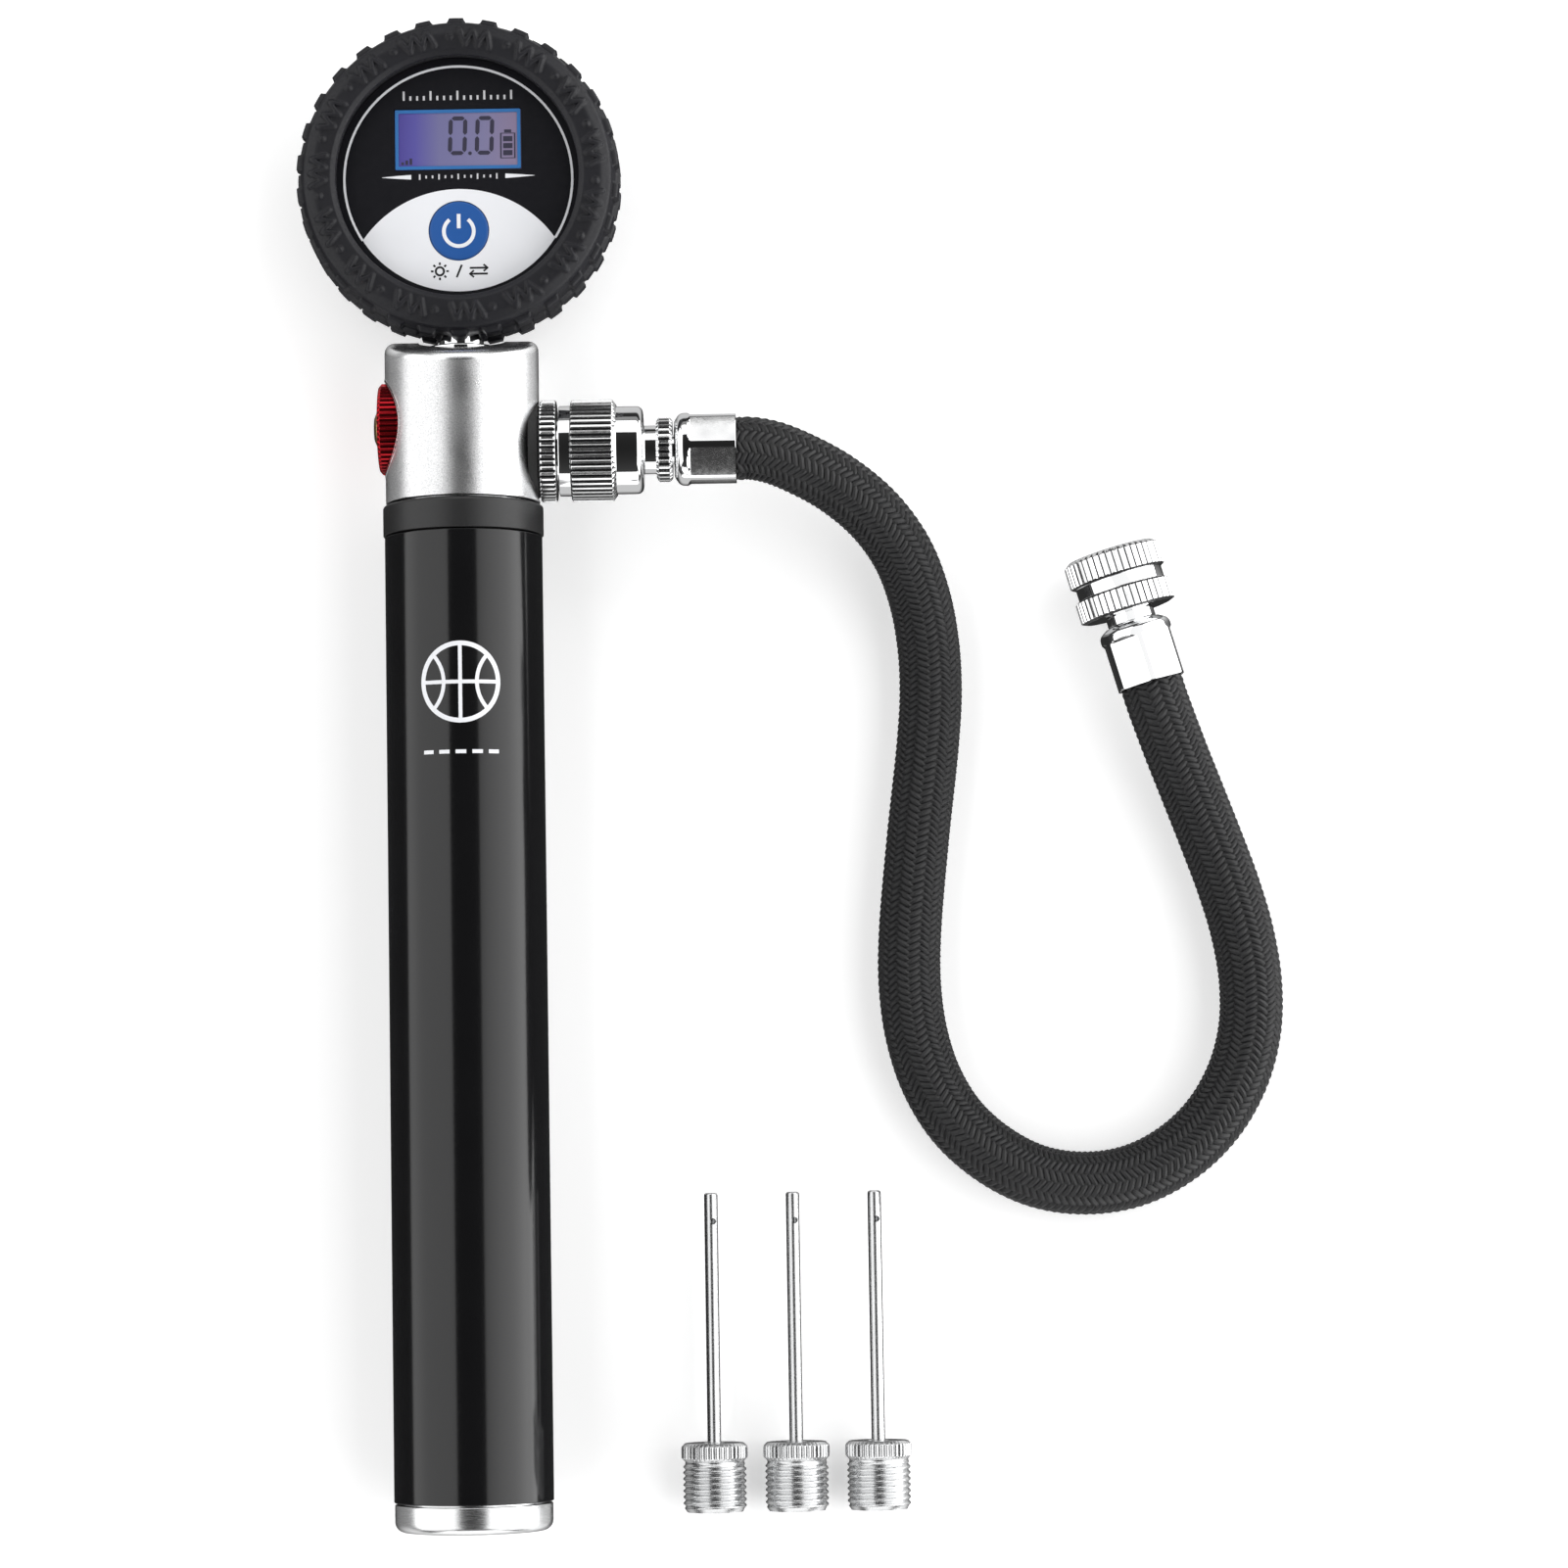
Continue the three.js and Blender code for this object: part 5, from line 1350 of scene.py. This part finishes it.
def make_needles():
    for number in (1, 2, 3):
        body = f"needle_{number}"
        base, tip = f"{body}_base", f"{body}_tube"
        low, high = limits(base)
        length = limits(tip)[1].y - low.y
        foot = ((low.x + high.x) / 2, low.y, (low.z + high.z) / 2)
        place = frame_along(foot, (0, 1, 0), (1, 0, 0))
        piece(f"threaded_foot_{number}", needle_base(), body, "steel", place, [base])
        name = f"needle_shaft_{number}"
        shaft = piece(name, needle_tube(length), body, "steel", place, [tip])
        sideways = Matrix.Rotation(math.pi / 2, 4, "X")
        hole_place = place @ Matrix.Translation((0.25, 0, length - 3.8)) @ sideways
        side_hole = disc(0.42, 0, 3, 32, 0.05)
        carve(shaft, [moved(side_hole, hole_place)])


make_needles()


# ------------------------ finishes of the hidden pieces

SLOT_OF = {row["node"]: row["material_slot"] for row in frame["record"]["subparts"]}
for node, part in frame["nodes"].items():
    part.data.materials.clear()
    part.data.materials.append(MATERIALS[SLOT_OF[node]])


# ------------------------ floor and light


def make_floor():
    size = 8.0
    mesh = bpy.data.meshes.new("floor")
    corners = [(-size, -size, 0), (size, -size, 0), (size, size, 0), (-size, size, 0)]
    mesh.from_pydata(corners, [], [(0, 1, 2, 3)])
    floor = bpy.data.objects.new("floor", mesh)
    look = Look("floor_paper", 0.9)
    look.colours(look.noise(0.02, 2), shades((0.9, 0.9, 0.9), 0.01))
    look.set("Specular IOR Level", 0.0)
    look.set("Emission Color", (1, 1, 1, 1))
    look.set("Emission Strength", 0.38)
    mesh.materials.append(look.material)
    bpy.context.scene.collection.objects.link(floor)
    floor.visible_glossy = False
    floor.visible_shadow = False


def make_panel(name, top, bottom, length, brightness, along, lit=(), unlit=()):
    """A soft panel beside the pump, between two points (out, up), running along X or Y.
    Its brightness goes evenly from the first value at its top to the second at its bottom.
    Where some pieces are named, it lights only those, or all but those."""
    top, bottom = Vector(top), Vector(bottom)
    centre = (top + bottom) / 2
    slope = (top - bottom).normalized()
    if along == "Y":
        place, rise, run = (centre.x, 0, centre.y), Vector((slope.x, 0, slope.y)), Vector((0, 1, 0))
    else:
        place, rise, run = (0, centre.x, centre.y), Vector((0, slope.x, slope.y)), Vector((1, 0, 0))
    facing = run.cross(rise)
    if facing.dot(place) < 0:
        run, facing = -run, -facing
    data = bpy.data.lights.new(name, "AREA")
    data.shape = "RECTANGLE"
    data.size = length
    data.size_y = (top - bottom).length
    data.energy = math.pi * data.size * data.size_y
    data.use_nodes = True
    tree = data.node_tree
    geometry = add_node(tree, "ShaderNodeNewGeometry")
    split = add_node(tree, "ShaderNodeSeparateXYZ")
    ends = [("To Min", brightness[1]), ("To Max", brightness[0])]
    height = add_node(tree, "ShaderNodeMapRange", ends)
    tree.links.new(geometry.outputs["Parametric"], split.inputs["Vector"])
    tree.links.new(split.outputs["Y"], height.inputs["Value"])
    tree.links.new(height.outputs["Result"], tree.nodes["Emission"].inputs["Strength"])
    lamp = bpy.data.objects.new(name, data)
    lamp.matrix_world = frame_at(place, run, rise, facing)
    lamp.visible_camera = False
    bpy.context.scene.collection.objects.link(lamp)
    if lit or unlit:
        choose_pieces(lamp, lit or unlit, "INCLUDE" if lit else "EXCLUDE")


def choose_pieces(lamp, names, state):
    """Keeps a lamp to some pieces or off them, as a small card held beside them would."""
    group = bpy.data.collections.new(lamp.name + "_pieces")
    for name in names:
        group.objects.link(bpy.data.objects[name])
    for row in group.collection_objects:
        row.light_linking.link_state = state
    lamp.light_linking.receiver_collection = group


def panel_between(from_angle, to_angle, distance):
    """Two points at angles off the vertical, in degrees, at one distance."""
    return [
        (distance * math.sin(math.radians(a)), distance * math.cos(math.radians(a)))
        for a in (from_angle, to_angle)
    ]


def make_world():
    """Dark overhead, pale at the horizon, and a pale floor beyond the near side."""
    world = bpy.data.worlds.new("studio")
    bpy.context.scene.world = world
    world.use_nodes = True
    tree = world.node_tree
    coordinate = add_node(tree, "ShaderNodeTexCoord")
    split = add_node(tree, "ShaderNodeSeparateXYZ")
    tree.links.new(coordinate.outputs["Generated"], split.inputs["Vector"])

    def ramp(output, from_low, from_high, stops):
        ends = [("From Min", from_low), ("From Max", from_high)]
        height = add_node(tree, "ShaderNodeMapRange", ends)
        shade = add_node(tree, "ShaderNodeValToRGB")
        fill_ramp(shade, [(position, [value] * 3) for position, value in stops])
        tree.links.new(split.outputs[output], height.inputs["Value"])
        tree.links.new(height.outputs["Result"], shade.inputs["Fac"])
        return shade.outputs["Color"]

    def mix(blend_type, a, b):
        settings = {"data_type": "RGBA", "blend_type": blend_type}
        node = add_node(tree, "ShaderNodeMix", [("Factor", 1)], **settings)
        tree.links.new(a, node.inputs["A"])
        tree.links.new(b, node.inputs["B"])
        return node.outputs["Result"]

    sky_stops = [(0.0, 0.03), (0.49, 0.03), (0.5, 0.3), (0.56, 0.3), (0.7, 0.05), (1.0, 0.018)]
    sky = ramp("Z", -1, 1, sky_stops)
    below = ramp("Z", -0.5, -0.1, [(0.3, 1.0), (0.6, 0.0)])
    near_side = ramp("Y", -1, 1, [(0.2, 0.6), (0.4, 0.0), (0.6, 0.0), (0.8, 0.6)])
    total = mix("ADD", sky, mix("MULTIPLY", below, near_side))
    tree.links.new(total, tree.nodes["Background"].inputs["Color"])


make_floor()
make_world()
SILVER_PIECES = ("head_shell", "cap", "threaded_foot_1", "threaded_foot_2", "threaded_foot_3")
FAR_PIECES = ("crimped_far_ferrule", "turned_far_stem", "knurled_far_nut")
make_panel("left_panel", *panel_between(-20, -93, 1.5), 3.0, (1.4, 1.4), "Y")
make_panel("right_panel", *panel_between(22, 107, 1.5), 3.0, (1.2, 3.5), "Y")
make_panel("near_panel", *panel_between(-67, -110, 1.8), 1.6, (1.3, 1.3), "X", unlit=FAR_PIECES)
make_panel("far_panel", *panel_between(39, 76, 1.8), 1.6, (1.3, 1.3), "X", unlit=FAR_PIECES)
make_panel("left_card", *panel_between(-94, -150, 1.4), 3.0, (0.25, 0.13), "Y", SILVER_PIECES)
make_panel("right_card", *panel_between(108, 150, 1.4), 3.0, (0.7, 0.4), "Y", SILVER_PIECES)
make_panel("far_card", (-0.5, 0.5), (0.6, 0.5), 0.8, (0.95, 1.15), "Y", FAR_PIECES)
bpy.context.scene.view_settings.view_transform = "Standard"
